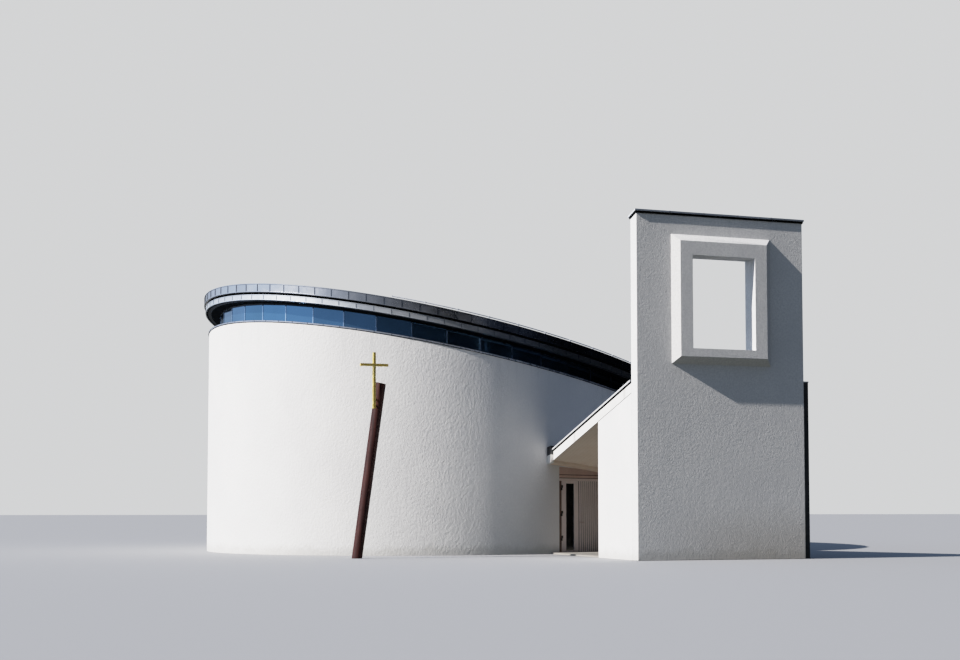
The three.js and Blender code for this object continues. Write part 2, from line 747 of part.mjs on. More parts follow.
function doorThreshold() {
  const from = DOOR_START_FACING - THRESHOLD_END_ANGLE;
  const to = doorEndFacing + THRESHOLD_END_ANGLE;
  const plan = naveSector(THRESHOLD_CLEARANCE - WALL_THICKNESS, 0, from, to, DOOR_ARC_STEPS);
  const ring = prism(plan, level(0), level(FLOOR_HEIGHT));
  const sill = toSolid(ring).intersect(toSolid(doorwayTool(GAP, DOOR_WIDTH - GAP)));
  addPiece(church, 'door_threshold', toGeometry(sill), MATERIALS.floor);
}

function glazedLeaf() {
  const left = JAMB_WIDTH + LEAF_CLEARANCE;
  const back = LEAF_SETBACK + LEAF_THICKNESS;
  const board = block(left, left + GLAZED_LEAF_WIDTH, LEAF_SETBACK, back, LEAF_BOTTOM, leafTop);
  const { left: glassLeft, right: glassRight, bottom, top } = DOOR_GLASS;
  const window = block(glassLeft, glassRight, LEAF_SETBACK - CUT_MARGIN, back + CUT_MARGIN, bottom, top);
  const hinges = HINGE_HEIGHTS.flatMap((height) =>
    hingeHalf(leftPivot, 1, height + GAP / 2, LEAF_SETBACK + HINGE_PLATE_SINK));
  addPiece(doorGroup, 'glazed_leaf', join(cut(board, window), ...hinges), MATERIALS.doorWood);
  const glassFront = LEAF_SETBACK + (LEAF_THICKNESS - DOOR_GLASS_THICKNESS) / 2;
  const glass = block(
    glassLeft + GAP,
    glassRight - GAP,
    glassFront,
    glassFront + DOOR_GLASS_THICKNESS,
    bottom + GAP,
    top - GAP,
  );
  addPiece(doorGroup, 'glazed_leaf_glass', glass, MATERIALS.doorGlass);
}

function ribbedLeaf() {
  const left = JAMB_WIDTH + LEAF_CLEARANCE * 2 + GLAZED_LEAF_WIDTH;
  const right = DOOR_WIDTH - JAMB_WIDTH - LEAF_CLEARANCE;
  const back = LEAF_SETBACK + LEAF_THICKNESS;
  const board = block(left, right, LEAF_SETBACK, back, LEAF_BOTTOM, leafTop);
  const grooveFront = LEAF_SETBACK - CUT_MARGIN;
  const grooveBack = LEAF_SETBACK + GROOVE_DEPTH;
  const groove = (from, to) => block(from, to, grooveFront, grooveBack, -CUT_MARGIN, leafTop + CUT_MARGIN);
  const grooves = [groove(left - CUT_MARGIN, left + GROOVE_WIDTH)];
  for (let x = left + RIB_PITCH; x < right - RIB_PITCH; x += RIB_PITCH) {
    grooves.push(groove(x, x + GROOVE_WIDTH));
  }
  const hinges = HINGE_HEIGHTS.flatMap((height) =>
    hingeHalf(rightPivot, -1, height + GAP / 2, LEAF_SETBACK + HINGE_PLATE_SINK));
  addPiece(doorGroup, 'ribbed_leaf', join(cut(board, ...grooves), ...hinges), MATERIALS.doorWood);

  const handleX = left + (RIB_PITCH + GROOVE_WIDTH) / 2;
  const handleLeft = handleX - HANDLE_THICKNESS / 2;
  const handleRight = handleX + HANDLE_THICKNESS / 2;
  const handleBottom = HANDLE_HEIGHT - HANDLE_THICKNESS / 2;
  const handleTop = HANDLE_HEIGHT + HANDLE_THICKNESS / 2;
  const front = LEAF_SETBACK - GAP;
  const leverBack = front - HANDLE_LEVER_DISTANCE;
  const leverFront = leverBack - HANDLE_THICKNESS;
  const leverRight = handleX + HANDLE_LEVER_LENGTH;
  const stem = block(handleLeft, handleRight, leverFront, front, handleBottom, handleTop);
  const lever = block(handleLeft, leverRight, leverFront, leverBack, handleBottom, handleTop);
  addPiece(doorGroup, 'door_handle', join(stem, lever), MATERIALS.darkMetal);
}

// Leaning column and cross

function columnAndCross() {
  const group = new THREE.Group();
  group.position.set(COLUMN_X, COLUMN_Y, 0);
  group.rotation.z = COLUMN_FACING * DEG;
  church.add(group);

  const columnTop = (x) => COLUMN_HEIGHT - COLUMN_TOP_FALL * x;
  const columnSolid = (radius) => {
    const outline = new THREE.Shape().absarc(0, 0, radius, 0, 2 * Math.PI).getPoints(COLUMN_SIDES / 2);
    const geometry = prism(outline.slice(0, -1), level(0), columnTop);
    const position = geometry.attributes.position;
    for (let i = 0; i < position.count; i += 1) {
      position.setX(i, position.getX(i) + COLUMN_LEAN * position.getZ(i));
    }
    geometry.computeVertexNormals();
    return geometry;
  };
  addPiece(group, 'cross_column', columnSolid(COLUMN_RADIUS), MATERIALS.columnRust);

  const turn = (CROSS_FACING - COLUMN_FACING) * DEG;
  const half = CROSS_BAR / 2;
  const halfDepth = CROSS_DEPTH / 2;
  const middleY = -COLUMN_RADIUS - CROSS_TO_COLUMN - halfDepth * Math.cos(turn) - half * Math.sin(turn);
  const armHalf = CROSS_ARM_LENGTH / 2;
  const armBottom = CROSS_ARM_HEIGHT - half;
  const armTop = CROSS_ARM_HEIGHT + half;
  const bars = join(
    block(-half, half, -halfDepth, halfDepth, CROSS_BOTTOM, CROSS_TOP),
    block(-armHalf, armHalf, -halfDepth, halfDepth, armBottom, armTop),
  );
  bars.rotateZ(turn);
  bars.translate(CROSS_OFFSET, middleY, 0);
  const bracketRight = CROSS_OFFSET + half;
  const bracketLeft = bracketRight - CROSS_BRACKET_SIZE;
  const brackets = CROSS_BRACKETS.map((height) =>
    block(bracketLeft, bracketRight, middleY, -COLUMN_RADIUS / 2, height, height + CROSS_BRACKET_SIZE));
  const cross = cut(join(bars, ...brackets), columnSolid(COLUMN_RADIUS + GAP));
  addPiece(group, 'gold_cross', cross, MATERIALS.gold);
}

naveWalls();
naveFloor();
wallCoping();
windowBand();
naveRoof();
snowGuard();
bellWall();
belfryFrame();
porchWalls();
porchFloor();
porchRoof();
porchGutter();
doorFrame();
doorThreshold();
glazedLeaf();
ribbedLeaf();
columnAndCross();

export default church;
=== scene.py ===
"""Looks of a modern village church: rendered walls, sheet metal rims, panes, porch and doors.

Metres, +Z up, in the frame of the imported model. X runs to the right along the front of the
bell wall and Y runs back towards the middle of the oval nave.
"""

import math
import random

import bmesh
import bpy
from mathutils import Matrix, Vector


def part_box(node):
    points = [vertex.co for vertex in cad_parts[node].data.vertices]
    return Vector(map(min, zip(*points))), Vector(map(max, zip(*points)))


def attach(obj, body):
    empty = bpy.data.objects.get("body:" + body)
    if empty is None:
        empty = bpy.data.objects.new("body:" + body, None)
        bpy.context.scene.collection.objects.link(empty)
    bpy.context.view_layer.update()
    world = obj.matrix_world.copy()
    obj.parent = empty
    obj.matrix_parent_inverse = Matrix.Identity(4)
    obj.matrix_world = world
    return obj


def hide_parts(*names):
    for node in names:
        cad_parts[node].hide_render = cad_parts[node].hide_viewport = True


FULL_TURN = 2 * math.pi
ALONG_X = (1.0, 0.0, 0.0)
UPWARDS = (0.0, 0.0, 1.0)

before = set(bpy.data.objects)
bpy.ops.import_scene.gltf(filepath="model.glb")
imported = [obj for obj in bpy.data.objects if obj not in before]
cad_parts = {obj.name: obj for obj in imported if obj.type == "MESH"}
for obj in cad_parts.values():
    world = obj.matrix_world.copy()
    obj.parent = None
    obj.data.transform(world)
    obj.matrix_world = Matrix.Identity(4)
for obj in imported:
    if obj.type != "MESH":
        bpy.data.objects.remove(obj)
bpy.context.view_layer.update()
scene = bpy.context.scene
chance = random.Random(7)


# Heights that follow tilted planes


class Plane:
    """A tilted plane: its height at a middle point and its rise along X and Y."""

    def __init__(self, height, rise_x, rise_y, middle):
        self.height = height
        self.rise_x = rise_x
        self.rise_y = rise_y
        self.middle = middle

    def at(self, x, y, lift=0.0):
        along_x = self.rise_x * (x - self.middle[0])
        along_y = self.rise_y * (y - self.middle[1])
        return self.height + lift + along_x + along_y

    def raised(self, lift):
        """The heights of the plane moved up, as a function of the place."""
        return lambda x, y: self.at(x, y, lift)


def level(height):
    """A height that is the same everywhere."""
    return lambda x, y: height


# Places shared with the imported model

NAVE_CENTRE = (0.0, 3.2871)
NAVE_HALF_LENGTH = 11.140
NAVE_HALF_WIDTH = 8.340
NAVE_TURN = math.radians(41.4)
WALL_HEAD = Plane(6.044, -0.1738, -0.0159, NAVE_CENTRE)
EAVES = Plane(6.774, -0.1798, -0.0065, NAVE_CENTRE)
ROOF_TOP = Plane(7.280, -0.1815, -0.0085, NAVE_CENTRE)

# Distances outside the nave's wall face
COPING_EDGE = 0.025
RIM_CORE = 0.110
LOWER_FASCIA_EDGE = 0.143
UPPER_FASCIA_EDGE = 0.192
GLAZING_LINE = -0.375
GUARD_LINE = 0.063
PORCH_EDGE = 0.204

WALL_THICKNESS = 0.525
LOWER_FASCIA_HEIGHT = 0.175
UPPER_FASCIA_START = 0.250
FASCIA_SHEETS = 109
FIRST_LOWER_JOINT = math.radians(-110.35)
FIRST_UPPER_JOINT = math.radians(-107.83)

MULLION = 0.036
SILL_RAIL = 0.095
HEAD_RAIL = 0.040
FIRST_PANEL = math.radians(-110.15)
WIDE_PANELS = 22
WIDE_PANEL_LENGTH = 1.166
NARROW_PANELS = 31

GUARD_LIFT = 0.075
GUARD_START = math.radians(-106.03)
GUARD_POSTS = 36
GUARD_SPACING = 1.080
GUARD_POST_HALF = 0.011

BELL_LEFT = 0.414
BELL_RIGHT = 5.904
BELL_FRONT = -12.9339
BELL_BACK = -12.5139
BELL_TOP = Plane(10.160, 0.0, -0.268, (0.0, BELL_FRONT))

PORCH_PLANE = Plane(5.200, 0.0, -0.276, (0.0, -12.5039))
PORCH_FRONT = -12.5136
PORCH_RIGHT = 5.9037

DOOR_CORNER = Vector((0.7471391, -5.7647680, 0.0))
DOOR_TURN = math.radians(23.761947)
DOOR_START = math.radians(-71.26)
DOOR_END = math.radians(-61.394995)
DOOR_WIDTH = 2.300
DOOR_HEAD = 2.930
DOOR_HEAD_FALL = 0.051
JAMB_WIDTH = 0.177
JAMB_SETBACK = 0.070
LEAF_SETBACK = 0.076
LEAF_CLEARANCE = 0.006
DOOR_GLASS = (0.395, 0.787, 0.095, 2.364)
HINGE_SETBACK = 0.050
HINGE_HEIGHTS = (0.515, 1.346, 2.213)
HINGE_HALF = 0.084

COLUMN_FOOT = Vector((-6.796, -8.2839, 0.0))
COLUMN_TURN = math.radians(-18)
COLUMN_LEAN = 0.1317
COLUMN_RADIUS = 0.160
COLUMN_HEIGHT = 5.325
COLUMN_TOP_FALL = 0.2

BOXING_END = Vector((0.2541, -5.921, 0.0))
BOXING_ALONG = Vector((0.9596, 0.2813, 0.0))
BOXING_WHITE_LENGTH = 0.125


# Tones and light

# Faces with this tone are joints between sheets
JOINT_TONE = 2.0

# From where to where along X the rim darkens with painted shade, the panes with a painted dark reflection,
# and the bell wall's foot with damp
PAINTED_SHADE_RANGE = (-4.6, -1.5)
DARK_REFLECTION_RANGE = (-1.0, 3.5)
DAMP_RANGE = (0.5, 4.5)

# How far below the eaves the painted shade on the window bars ends
SHADE_END = (0.076, 0.072)

SUN_DIRECTION = Vector((0.820, 0.0868, -0.565))


# The nave's oval


def nave_reach(direction):
    """Half the width of the oval in a direction that makes this angle with its long axis."""
    return math.hypot(NAVE_HALF_LENGTH * math.cos(direction), NAVE_HALF_WIDTH * math.sin(direction))


def nave_point(offset, facing):
    """Where the nave wall faces this way, moved outwards by an offset."""
    direction = facing - NAVE_TURN
    reach = nave_reach(direction)
    along = (NAVE_HALF_LENGTH**2 / reach + offset) * math.cos(direction)
    across = (NAVE_HALF_WIDTH**2 / reach + offset) * math.sin(direction)
    x = NAVE_CENTRE[0] + along * math.cos(NAVE_TURN) - across * math.sin(NAVE_TURN)
    y = NAVE_CENTRE[1] + along * math.sin(NAVE_TURN) + across * math.cos(NAVE_TURN)
    return x, y


def curve_radius(offset, facing):
    """How wide a circle the oval follows where it faces this way."""
    return (NAVE_HALF_LENGTH * NAVE_HALF_WIDTH) ** 2 / nave_reach(facing - NAVE_TURN) ** 3 + offset


def facing_after(offset, facing, distance):
    """The facing that is reached after a distance round the nave."""
    step = math.radians(0.05)
    while distance > 0:
        stretch = curve_radius(offset, facing + step / 2) * step
        facing += step * min(1.0, distance / stretch)
        distance -= stretch
    return facing


def length_round(offset, start=0.0):
    """Length of a line all round the nave."""
    parts = 7200
    turn = FULL_TURN / parts
    return sum(curve_radius(offset, start + (i + 0.5) * turn) * turn for i in range(parts))


def equal_facings(offset, start, count):
    """Facings that divide a line round the nave into equal lengths."""
    length = length_round(offset, start)
    facings = [start]
    for _ in range(count - 1):
        facings.append(facing_after(offset, facings[-1], length / count))
    return facings + [start + FULL_TURN]


def facing_where(offset, low, high, passed):
    """The facing between two others at which a test of the place turns true."""
    halvings = 50
    for _ in range(halvings):
        middle = (low + high) / 2
        if passed(*nave_point(offset, middle)):
            high = middle
        else:
            low = middle
    return low


def nave_side_y(x, offset):
    """Y of a line round the nave on its front side."""
    facing = facing_where(offset, -math.pi, 0.0, lambda at_x, at_y: at_x > x)
    return nave_point(offset, facing)[1]


def nave_side_x(y, offset, side):
    """X of a line round the nave on its right side (1) or its left side (-1)."""
    if side > 0:
        facing = facing_where(offset, -math.pi / 2, math.pi / 2, lambda at_x, at_y: at_y > y)
    else:
        facing = facing_where(offset, math.pi / 2, 3 * math.pi / 2, lambda at_x, at_y: at_y < y)
    return nave_point(offset, facing)[0]


# Building pieces


def rectangle(left, front, right, back):
    """Plan outline that starts at its front left corner."""
    return [(left, front), (right, front), (right, back), (left, back)]


def circle(radius, sides):
    """Points at equal distances on a circle."""
    turns = [FULL_TURN * i / sides for i in range(sides)]
    return [(radius * math.cos(turn), radius * math.sin(turn)) for turn in turns]


class Shape:
    """Corners and faces of one piece, with a tone for the material on each face.

    Tones run from 0 to 1, apart from the tone of joints. A shape with a place is built there.
    """

    def __init__(self, place=None):
        self.place = place
        self.corners = []
        self.faces = []
        self.tones = []

    def add(self, corners, faces, tone):
        start = len(self.corners)
        if self.place is not None:
            corners = [self.place @ Vector(corner) for corner in corners]
        self.corners.extend(tuple(corner) for corner in corners)
        self.faces.extend(tuple(start + i for i in face) for face in faces)
        self.tones.extend([tone] * len(faces))

    def prism(self, outline, bottom, top, tone=0.5):
        """A solid over a plan outline, between two functions of the height."""
        count = len(outline)
        corners = [(x, y, bottom(x, y)) for x, y in outline]
        corners += [(x, y, top(x, y)) for x, y in outline]
        faces = [(i, (i + 1) % count, count + (i + 1) % count, count + i) for i in range(count)]
        faces.append(tuple(reversed(range(count))))
        faces.append(tuple(range(count, 2 * count)))
        self.add(corners, faces, tone)

    def box(self, low, high, tone=0.5):
        outline = rectangle(low[0], low[1], high[0], high[1])
        self.prism(outline, level(low[2]), level(high[2]), tone)

    def sweep(self, sections, tone=0.5, closed=False):
        """A solid through closed sections that have the same number of corners."""
        size = len(sections[0])
        corners = [corner for section in sections for corner in section]
        faces = []
        last = len(sections) if closed else len(sections) - 1
        for i in range(last):
            here = i * size
            there = ((i + 1) % len(sections)) * size
            for j in range(size):
                k = (j + 1) % size
                faces.append((here + j, here + k, there + k, there + j))
        if not closed:
            faces.append(tuple(reversed(range(size))))
            faces.append(tuple((len(sections) - 1) * size + j for j in range(size)))
        self.add(corners, faces, tone)


def make_piece(name, shape, material, body="church", replaces=(), bevel=0.0, sharp=35):
    """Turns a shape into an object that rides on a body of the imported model."""
    mesh = bpy.data.meshes.new(name)
    mesh.from_pydata(shape.corners, [], shape.faces)
    tones = mesh.attributes.new("tone", "FLOAT", "FACE")
    tones.data.foreach_set("value", shape.tones)
    mesh.materials.append(material)
    sorter = bmesh.new()
    sorter.from_mesh(mesh)
    bmesh.ops.recalc_face_normals(sorter, faces=sorter.faces)
    sorter.to_mesh(mesh)
    sorter.free()
    mesh.polygons.foreach_set("use_smooth", [True] * len(mesh.polygons))
    mesh.set_sharp_from_angle(angle=math.radians(sharp))
    piece = bpy.data.objects.new(name, mesh)
    scene.collection.objects.link(piece)
    if bevel:
        soften(piece, bevel)
    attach(piece, body)
    if replaces:
        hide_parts(*replaces)


def soften(piece, width):
    """Rounds the hard edges a little with a bevel."""
    bevel = piece.modifiers.new("soft_edges", "BEVEL")
    bevel.width = width
    bevel.segments = 2
    bevel.limit_method = "ANGLE"
    bevel.angle_limit = math.radians(40)
    bevel.harden_normals = False
    bevel.use_clamp_overlap = True


def finish_node(name, material, bevel):
    """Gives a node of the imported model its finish, and softer edges where asked."""
    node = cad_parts[name]
    for slot in node.material_slots:
        slot.material = material
    if bevel:
        weld = node.modifiers.new("weld", "WELD")
        weld.merge_threshold = 0.0001
        soften(node, bevel)


def ring_point(offset, facing, plane, lift):
    """A point outside the wall, at a lift over a plane."""
    x, y = nave_point(offset, facing)
    return (x, y, plane.at(x, y, lift))


def profile_on(plane, points):
    """A rim's profile from points of (offset, lift), all measured from one plane."""
    return [(offset, plane, lift) for offset, lift in points]


def flat_bar(plane, inner, outer, bottom, top):
    """The profile of a bar between two offsets and two lifts."""
    return profile_on(plane, [(inner, bottom), (outer, bottom), (outer, top), (inner, top)])


def ring_sections(profile, start, end, steps):
    """Sections of a rim; the profile is a list of (offset, plane, lift)."""
    sections = []
    for i in range(steps + 1):
        facing = start + (end - start) * i / steps
        sections.append([ring_point(offset, facing, plane, lift) for offset, plane, lift in profile])
    return sections


def full_ring(shape, profile, steps):
    """A rim of one piece, all round the nave."""
    shape.sweep(ring_sections(profile, 0.0, FULL_TURN, steps)[:-1], closed=True)


def sheet_ring(shape, profile, rib, first_joint, rib_width):
    """A rim of separate sheets of slightly different tone, with a folded rib at each joint."""
    steps = 4
    joints = equal_facings(0.0, first_joint, FASCIA_SHEETS)
    for start, end in zip(joints, joints[1:]):
        half_rib = rib_width / 2 / curve_radius(0.0, start)
        shape.sweep(ring_sections(profile, start, end, steps), chance.random())
        shape.sweep(ring_sections(rib, start - half_rib, start + half_rib, 1), JOINT_TONE)


# Finishes


def colour(red, green, blue):
    """Screen values from 0 to 255 as a linear colour."""
    linear = []
    for value in (red, green, blue):
        part = value / 255
        linear.append(part / 12.92 if part <= 0.04045 else ((part + 0.055) / 1.055) ** 2.4)
    return (*linear, 1.0)


class Nodes:
    """A node tree, built node by node."""

    def __init__(self, tree):
        self.tree = tree
        self.tree.nodes.clear()

    def feed(self, socket, value):
        if isinstance(value, bpy.types.NodeSocket):
            self.tree.links.new(value, socket)
        else:
            socket.default_value = value

    def node(self, kind, inputs, **settings):
        made = self.tree.nodes.new(kind)
        for key, value in settings.items():
            setattr(made, key, value)
        for key, value in inputs.items():
            self.feed(made.inputs[key], value)
        return made

    def math(self, operation, first, second=0.0):
        return self.node("ShaderNodeMath", {0: first, 1: second}, operation=operation).outputs[0]

    def times(self, first, second):
        return self.math("MULTIPLY", first, second)

    def plus(self, first, second):
        return self.math("ADD", first, second)


class Finish(Nodes):
    """A procedural material."""

    def __init__(self, name, roughness=0.5, metallic=0.0):
        self.material = bpy.data.materials.new(name)
        self.material.use_nodes = True
        super().__init__(self.material.node_tree)
        self.shader = self.node("ShaderNodeBsdfPrincipled", {"Roughness": roughness, "Metallic": metallic})
        self.node("ShaderNodeOutputMaterial", {"Surface": self.shader.outputs["BSDF"]})
        self.place = self.node("ShaderNodeTexCoord", {}).outputs["Object"]

    def set(self, socket, value):
        self.feed(self.shader.inputs[socket], value)

    def tone(self):
        return self.node("ShaderNodeAttribute", {}, attribute_name="tone").outputs["Fac"]

    def noise(self, scale, detail=4.0, roughness=0.55, stretch=None):
        """Clouds; a stretch is a factor for each axis, and a small one draws them out along it."""
        where = self.place
        if stretch:
            factors = {0: self.place, 1: stretch}
            where = self.node("ShaderNodeVectorMath", factors, operation="MULTIPLY").outputs[0]
        inputs = {"Vector": where, "Scale": scale, "Detail": detail, "Roughness": roughness}
        return self.node("ShaderNodeTexNoise", inputs).outputs[0]

    def between(self, value, low, high, out_low=0.0, out_high=1.0):
        """Maps a range to another one, softly and within its ends."""
        inputs = {"Value": value, "From Min": low, "From Max": high, "To Min": out_low, "To Max": out_high}
        return self.node("ShaderNodeMapRange", inputs, interpolation_type="SMOOTHSTEP").outputs[0]

    def mix(self, factor, first, second):
        """Blends two colours, each from another node or given in screen values."""
        inputs = {0: factor}
        for socket, end in ((6, first), (7, second)):
            inputs[socket] = colour(*end) if isinstance(end, tuple) else end
        return self.node("ShaderNodeMix", inputs, data_type="RGBA").outputs[2]

    def dot(self, direction):
        """How far a place lies along a direction."""
        inputs = {0: self.place, 1: direction}
        return self.node("ShaderNodeVectorMath", inputs, operation="DOT_PRODUCT").outputs["Value"]

    def bump(self, height):
        """Relief from a height in metres."""
        inputs = {"Height": height, "Distance": 1.0, "Strength": 1.0}
        self.set("Normal", self.node("ShaderNodeBump", inputs).outputs[0])

    def below(self, plane):
        """Distance below a tilted plane."""
        offset = plane.at(0.0, 0.0)
        height = self.dot((plane.rise_x, plane.rise_y, -1.0))
        return self.plus(height, offset)


def plaster(
    name, head, waviness, relief=1.0, mottle=0.0, trowel=(6.0, 0.6, 0.0035), speckle=0.35, damp=0.0
):
    """White lime render: waves, trowel strokes, grain, faint blotches and specks.

    It has streaks below its head and a grey foot. Damp browns the foot more and more to the right.
    """
    f = Finish(name, roughness=0.9)
    blotches = f.between(f.noise(0.55, detail=5.0), 0.35, 0.7)
    base = f.mix(blotches, (240, 239, 237), (232, 231, 230))
    fine = f.between(f.noise(18.0, detail=3.0), 0.3, 0.7, 0.0, speckle)
    base = f.mix(fine, base, (222, 221, 220))
    streak_noise = f.noise(1.0, detail=5.0, roughness=0.7, stretch=(5.0, 5.0, 0.35))
    streaks = f.times(f.between(streak_noise, 0.5, 0.75), f.between(f.below(head), 1.4, 0.0))
    base = f.mix(f.times(streaks, 0.35), base, (196, 196, 196))
    foot_noise = f.noise(2.5, detail=6.0, roughness=0.65)
    foot_height = f.math("SUBTRACT", f.dot(UPWARDS), f.times(foot_noise, 0.55))
    foot = f.between(foot_height, 0.12, -0.2, 0.0, 0.40)
    base = f.mix(foot, base, (170, 168, 160))
    if damp:
        damp_foot = f.between(foot_height, 1.7, -0.1, 0.0, damp)
        damp_foot = f.times(damp_foot, f.between(f.dot(ALONG_X), *DAMP_RANGE))
        base = f.mix(damp_foot, base, (164, 150, 130))
    f.set("Base Color", base)
    waves = f.times(f.noise(1.3, detail=2.0, stretch=(1.0, 1.0, 0.45)), 0.012 * waviness)
    mottles = f.times(f.noise(15.0, detail=3.0, stretch=(1.0, 1.0, 0.7)), mottle)
    scale, upright, depth = trowel
    strokes = f.times(f.noise(scale, detail=3.0, stretch=(1.0, 1.0, upright)), depth)
    grain = f.times(f.noise(34.0, detail=3.0), 0.0032 * relief)
    f.bump(f.plus(f.plus(waves, mottles), f.plus(strokes, grain)))
    return f.material


def sheet_metal(name, light, dark, roughness=0.27, metallic=0.65, dark_head=None, painted_shade=0.0):
    """Weathered sheet: each sheet its own tone, clouds, run-off streaks, dark joints, slight dents.

    Painted shade darkens the metal just below its dark head, and more painted shade darkens it towards the
    right.
    """
    f = Finish(name, metallic=metallic)
    dent = 0.0012
    clouds = f.noise(2.2, detail=5.0, roughness=0.6)
    streaks = f.noise(1.0, detail=4.0, roughness=0.65, stretch=(14.0, 14.0, 0.9))
    blend = f.plus(f.times(f.tone(), 0.42), f.times(clouds, 0.38))
    blend = f.plus(blend, f.times(streaks, 0.32))
    sheet = f.mix(f.between(blend, 0.3, 0.9), light, dark)
    is_joint = f.between(f.tone(), 1.2, JOINT_TONE)
    base = f.mix(is_joint, sheet, (96, 102, 112))
    # Painted shade: the sheet turns dark blue towards the right.
    base = f.mix(f.between(f.dot(ALONG_X), *PAINTED_SHADE_RANGE, 0.0, painted_shade), base, (30, 40, 58))
    # Painted shade: the metal turns dark just below the eaves.
    if dark_head:
        base = f.mix(f.between(f.below(dark_head), *SHADE_END), base, (24, 27, 32))
    f.set("Base Color", base)
    f.set("Roughness", f.between(clouds, 0.3, 0.75, roughness - 0.03, roughness + 0.06))
    dents = f.times(f.noise(1.9, detail=2.0), dent)
    f.bump(f.plus(dents, f.times(f.noise(30.0), dent * 0.02)))
    return f.material


def dark_coating(name, base, light, roughness=0.5, shine=0.5):
    """Dark coated metal or boards with dust and faint wear."""
    f = Finish(name)
    f.set("Specular IOR Level", shine)
    dust = f.between(f.noise(3.5, detail=6.0, roughness=0.65), 0.4, 0.75)
    f.set("Base Color", f.mix(dust, base, light))
    f.set("Roughness", f.between(dust, 0.0, 1.0, roughness, roughness + 0.2))
    f.bump(f.times(f.noise(60.0), 0.0006))
    return f.material


def tinted_glass(name, groove_shade, tint):
    """Solar glass: a mirror-like blue film, each pane slightly different, with a painted dark reflection to
    the right.
    """
    f = Finish(name, metallic=0.9)
    ripple = f.noise(0.9, detail=2.0)
    blend = f.plus(f.times(f.tone(), 0.45), f.times(ripple, 0.55))
    tinted = f.mix(f.between(blend, 0.2, 0.8), groove_shade, tint)
    # Painted reflection: the panes turn almost black towards the right.
    dark_reflection = f.between(f.dot(ALONG_X), *DARK_REFLECTION_RANGE, 0.0, 0.9)
    f.set("Base Color", f.mix(dark_reflection, tinted, (8, 10, 14)))
    dirt = f.between(f.noise(1.0, detail=5.0, stretch=(3.0, 3.0, 0.6)), 0.5, 0.8)
    f.set("Roughness", f.between(dirt, 0.0, 1.0, 0.05, 0.16))
    f.bump(f.times(ripple, 0.004))
    return f.material


def wood(name, light, dark, grain_axis, grooves=None, pale_head=None):
    """Glazed wood: long grain along one axis, boards of different tone, cloudy patches.

    Grooves is the range of depths behind the doorway's front in which the wood is darkened with painted
    shade, and pale_head is the height above which it is pale.
    """
    f = Finish(name)
    roughness = 0.55
    groove_floor = (0.100, 0.094)
    squeeze = [70.0, 70.0, 70.0]
    squeeze[grain_axis] = 2.2
    grain = f.noise(1.0, detail=6.0, roughness=0.6, stretch=tuple(squeeze))
    clouds = f.noise(2.0, detail=4.0)
    blend = f.plus(f.times(grain, 0.6), f.times(f.tone(), 0.25))
    blend = f.plus(blend, f.times(clouds, 0.3))
    base = f.mix(f.between(blend, 0.3, 0.85), light, dark)
    if grooves:
        # Painted shade darkens the wood in the grooves.
        inwards = (-math.sin(DOOR_TURN), math.cos(DOOR_TURN), 0.0)
        depth = f.math("SUBTRACT", f.dot(inwards), DOOR_CORNER.dot(Vector(inwards)))
        groove_shade = f.times(f.between(depth, *grooves), f.between(depth, *groove_floor))
        base = f.mix(groove_shade, base, (60, 46, 42))
    if pale_head:
        is_head = f.between(f.dot(UPWARDS), pale_head, pale_head + 0.003)
        base = f.mix(is_head, base, (226, 212, 208))
    f.set("Base Color", base)
    f.set("Roughness", f.between(grain, 0.3, 0.7, roughness - 0.08, roughness + 0.12))
    f.bump(f.times(grain, 0.0012))
    return f.material


def painted_boards(name, base, shade, board, axis, white_end=None):
    """Painted boards with a fine groove between them, and white next to an end if one is given."""
    f = Finish(name, roughness=0.6)
    direction = [0.0, 0.0, 0.0]
    direction[axis] = 1.0 / board
    across = f.math("FRACT", f.dot(tuple(direction)))
    edge = f.math("ABSOLUTE", f.math("SUBTRACT", across, 0.5))
    groove = f.between(edge, 0.465, 0.5)
    clouds = f.between(f.noise(1.6, detail=5.0), 0.35, 0.7, 0.0, 0.7)
    tinted = f.mix(clouds, base, shade)
    if white_end:
        along, end = white_end
        joint_place = along.dot(end) + BOXING_WHITE_LENGTH
        near_end = f.between(f.dot(tuple(along)), joint_place + 0.002, joint_place)
        tinted = f.mix(near_end, tinted, (238, 236, 232))
    f.set("Base Color", f.mix(f.times(groove, 0.35), tinted, (110, 104, 98)))
    relief = f.times(groove, -0.004)
    f.bump(f.plus(relief, f.times(f.noise(25.0), 0.0008)))
    return f.material


def screed(name):
    """Smooth stone-grey floor slabs."""
    f = Finish(name, roughness=0.7)
    clouds = f.between(f.noise(0.9, detail=6.0, roughness=0.6), 0.3, 0.75)
    speckle = f.between(f.noise(55.0, detail=2.0), 0.45, 0.7, 0.0, 0.4)
    base = f.mix(clouds, (158, 154, 147), (140, 137, 131))
    f.set("Base Color", f.mix(speckle, base, (120, 117, 112)))
    f.bump(f.times(f.noise(30.0), 0.0015))
    return f.material


def rust(name):
    """Dark red-brown weathered steel with runs and paler scale."""
    f = Finish(name, metallic=0.1)
    f.set("Specular IOR Level", 0.25)
    runs = f.noise(1.0, detail=6.0, roughness=0.65, stretch=(9.0, 9.0, 0.7))
    scale = f.noise(13.0, detail=6.0, roughness=0.7)
    base = f.mix(f.between(runs, 0.35, 0.68), (40, 17, 17), (70, 34, 30))
    base = f.mix(f.between(scale, 0.52, 0.74, 0.0, 0.6), base, (32, 13, 14))
    f.set("Base Color", base)
    f.set("Roughness", f.between(scale, 0.3, 0.7, 0.45, 0.75))
    relief = f.times(scale, 0.003)
    f.bump(f.plus(relief, f.times(f.noise(60.0), 0.0008)))
    return f.material


def gilding(name):
    """Gilded metal with slightly duller and brighter patches."""
    f = Finish(name, metallic=0.75)
    patches = f.noise(9.0, detail=5.0, roughness=0.6)
    base = f.mix(f.between(patches, 0.35, 0.7), (255, 234, 132), (226, 186, 80))
    f.set("Base Color", base)
    f.set("Roughness", f.between(patches, 0.3, 0.7, 0.26, 0.5))
    f.bump(f.times(f.noise(40.0), 0.0008))
    return f.material


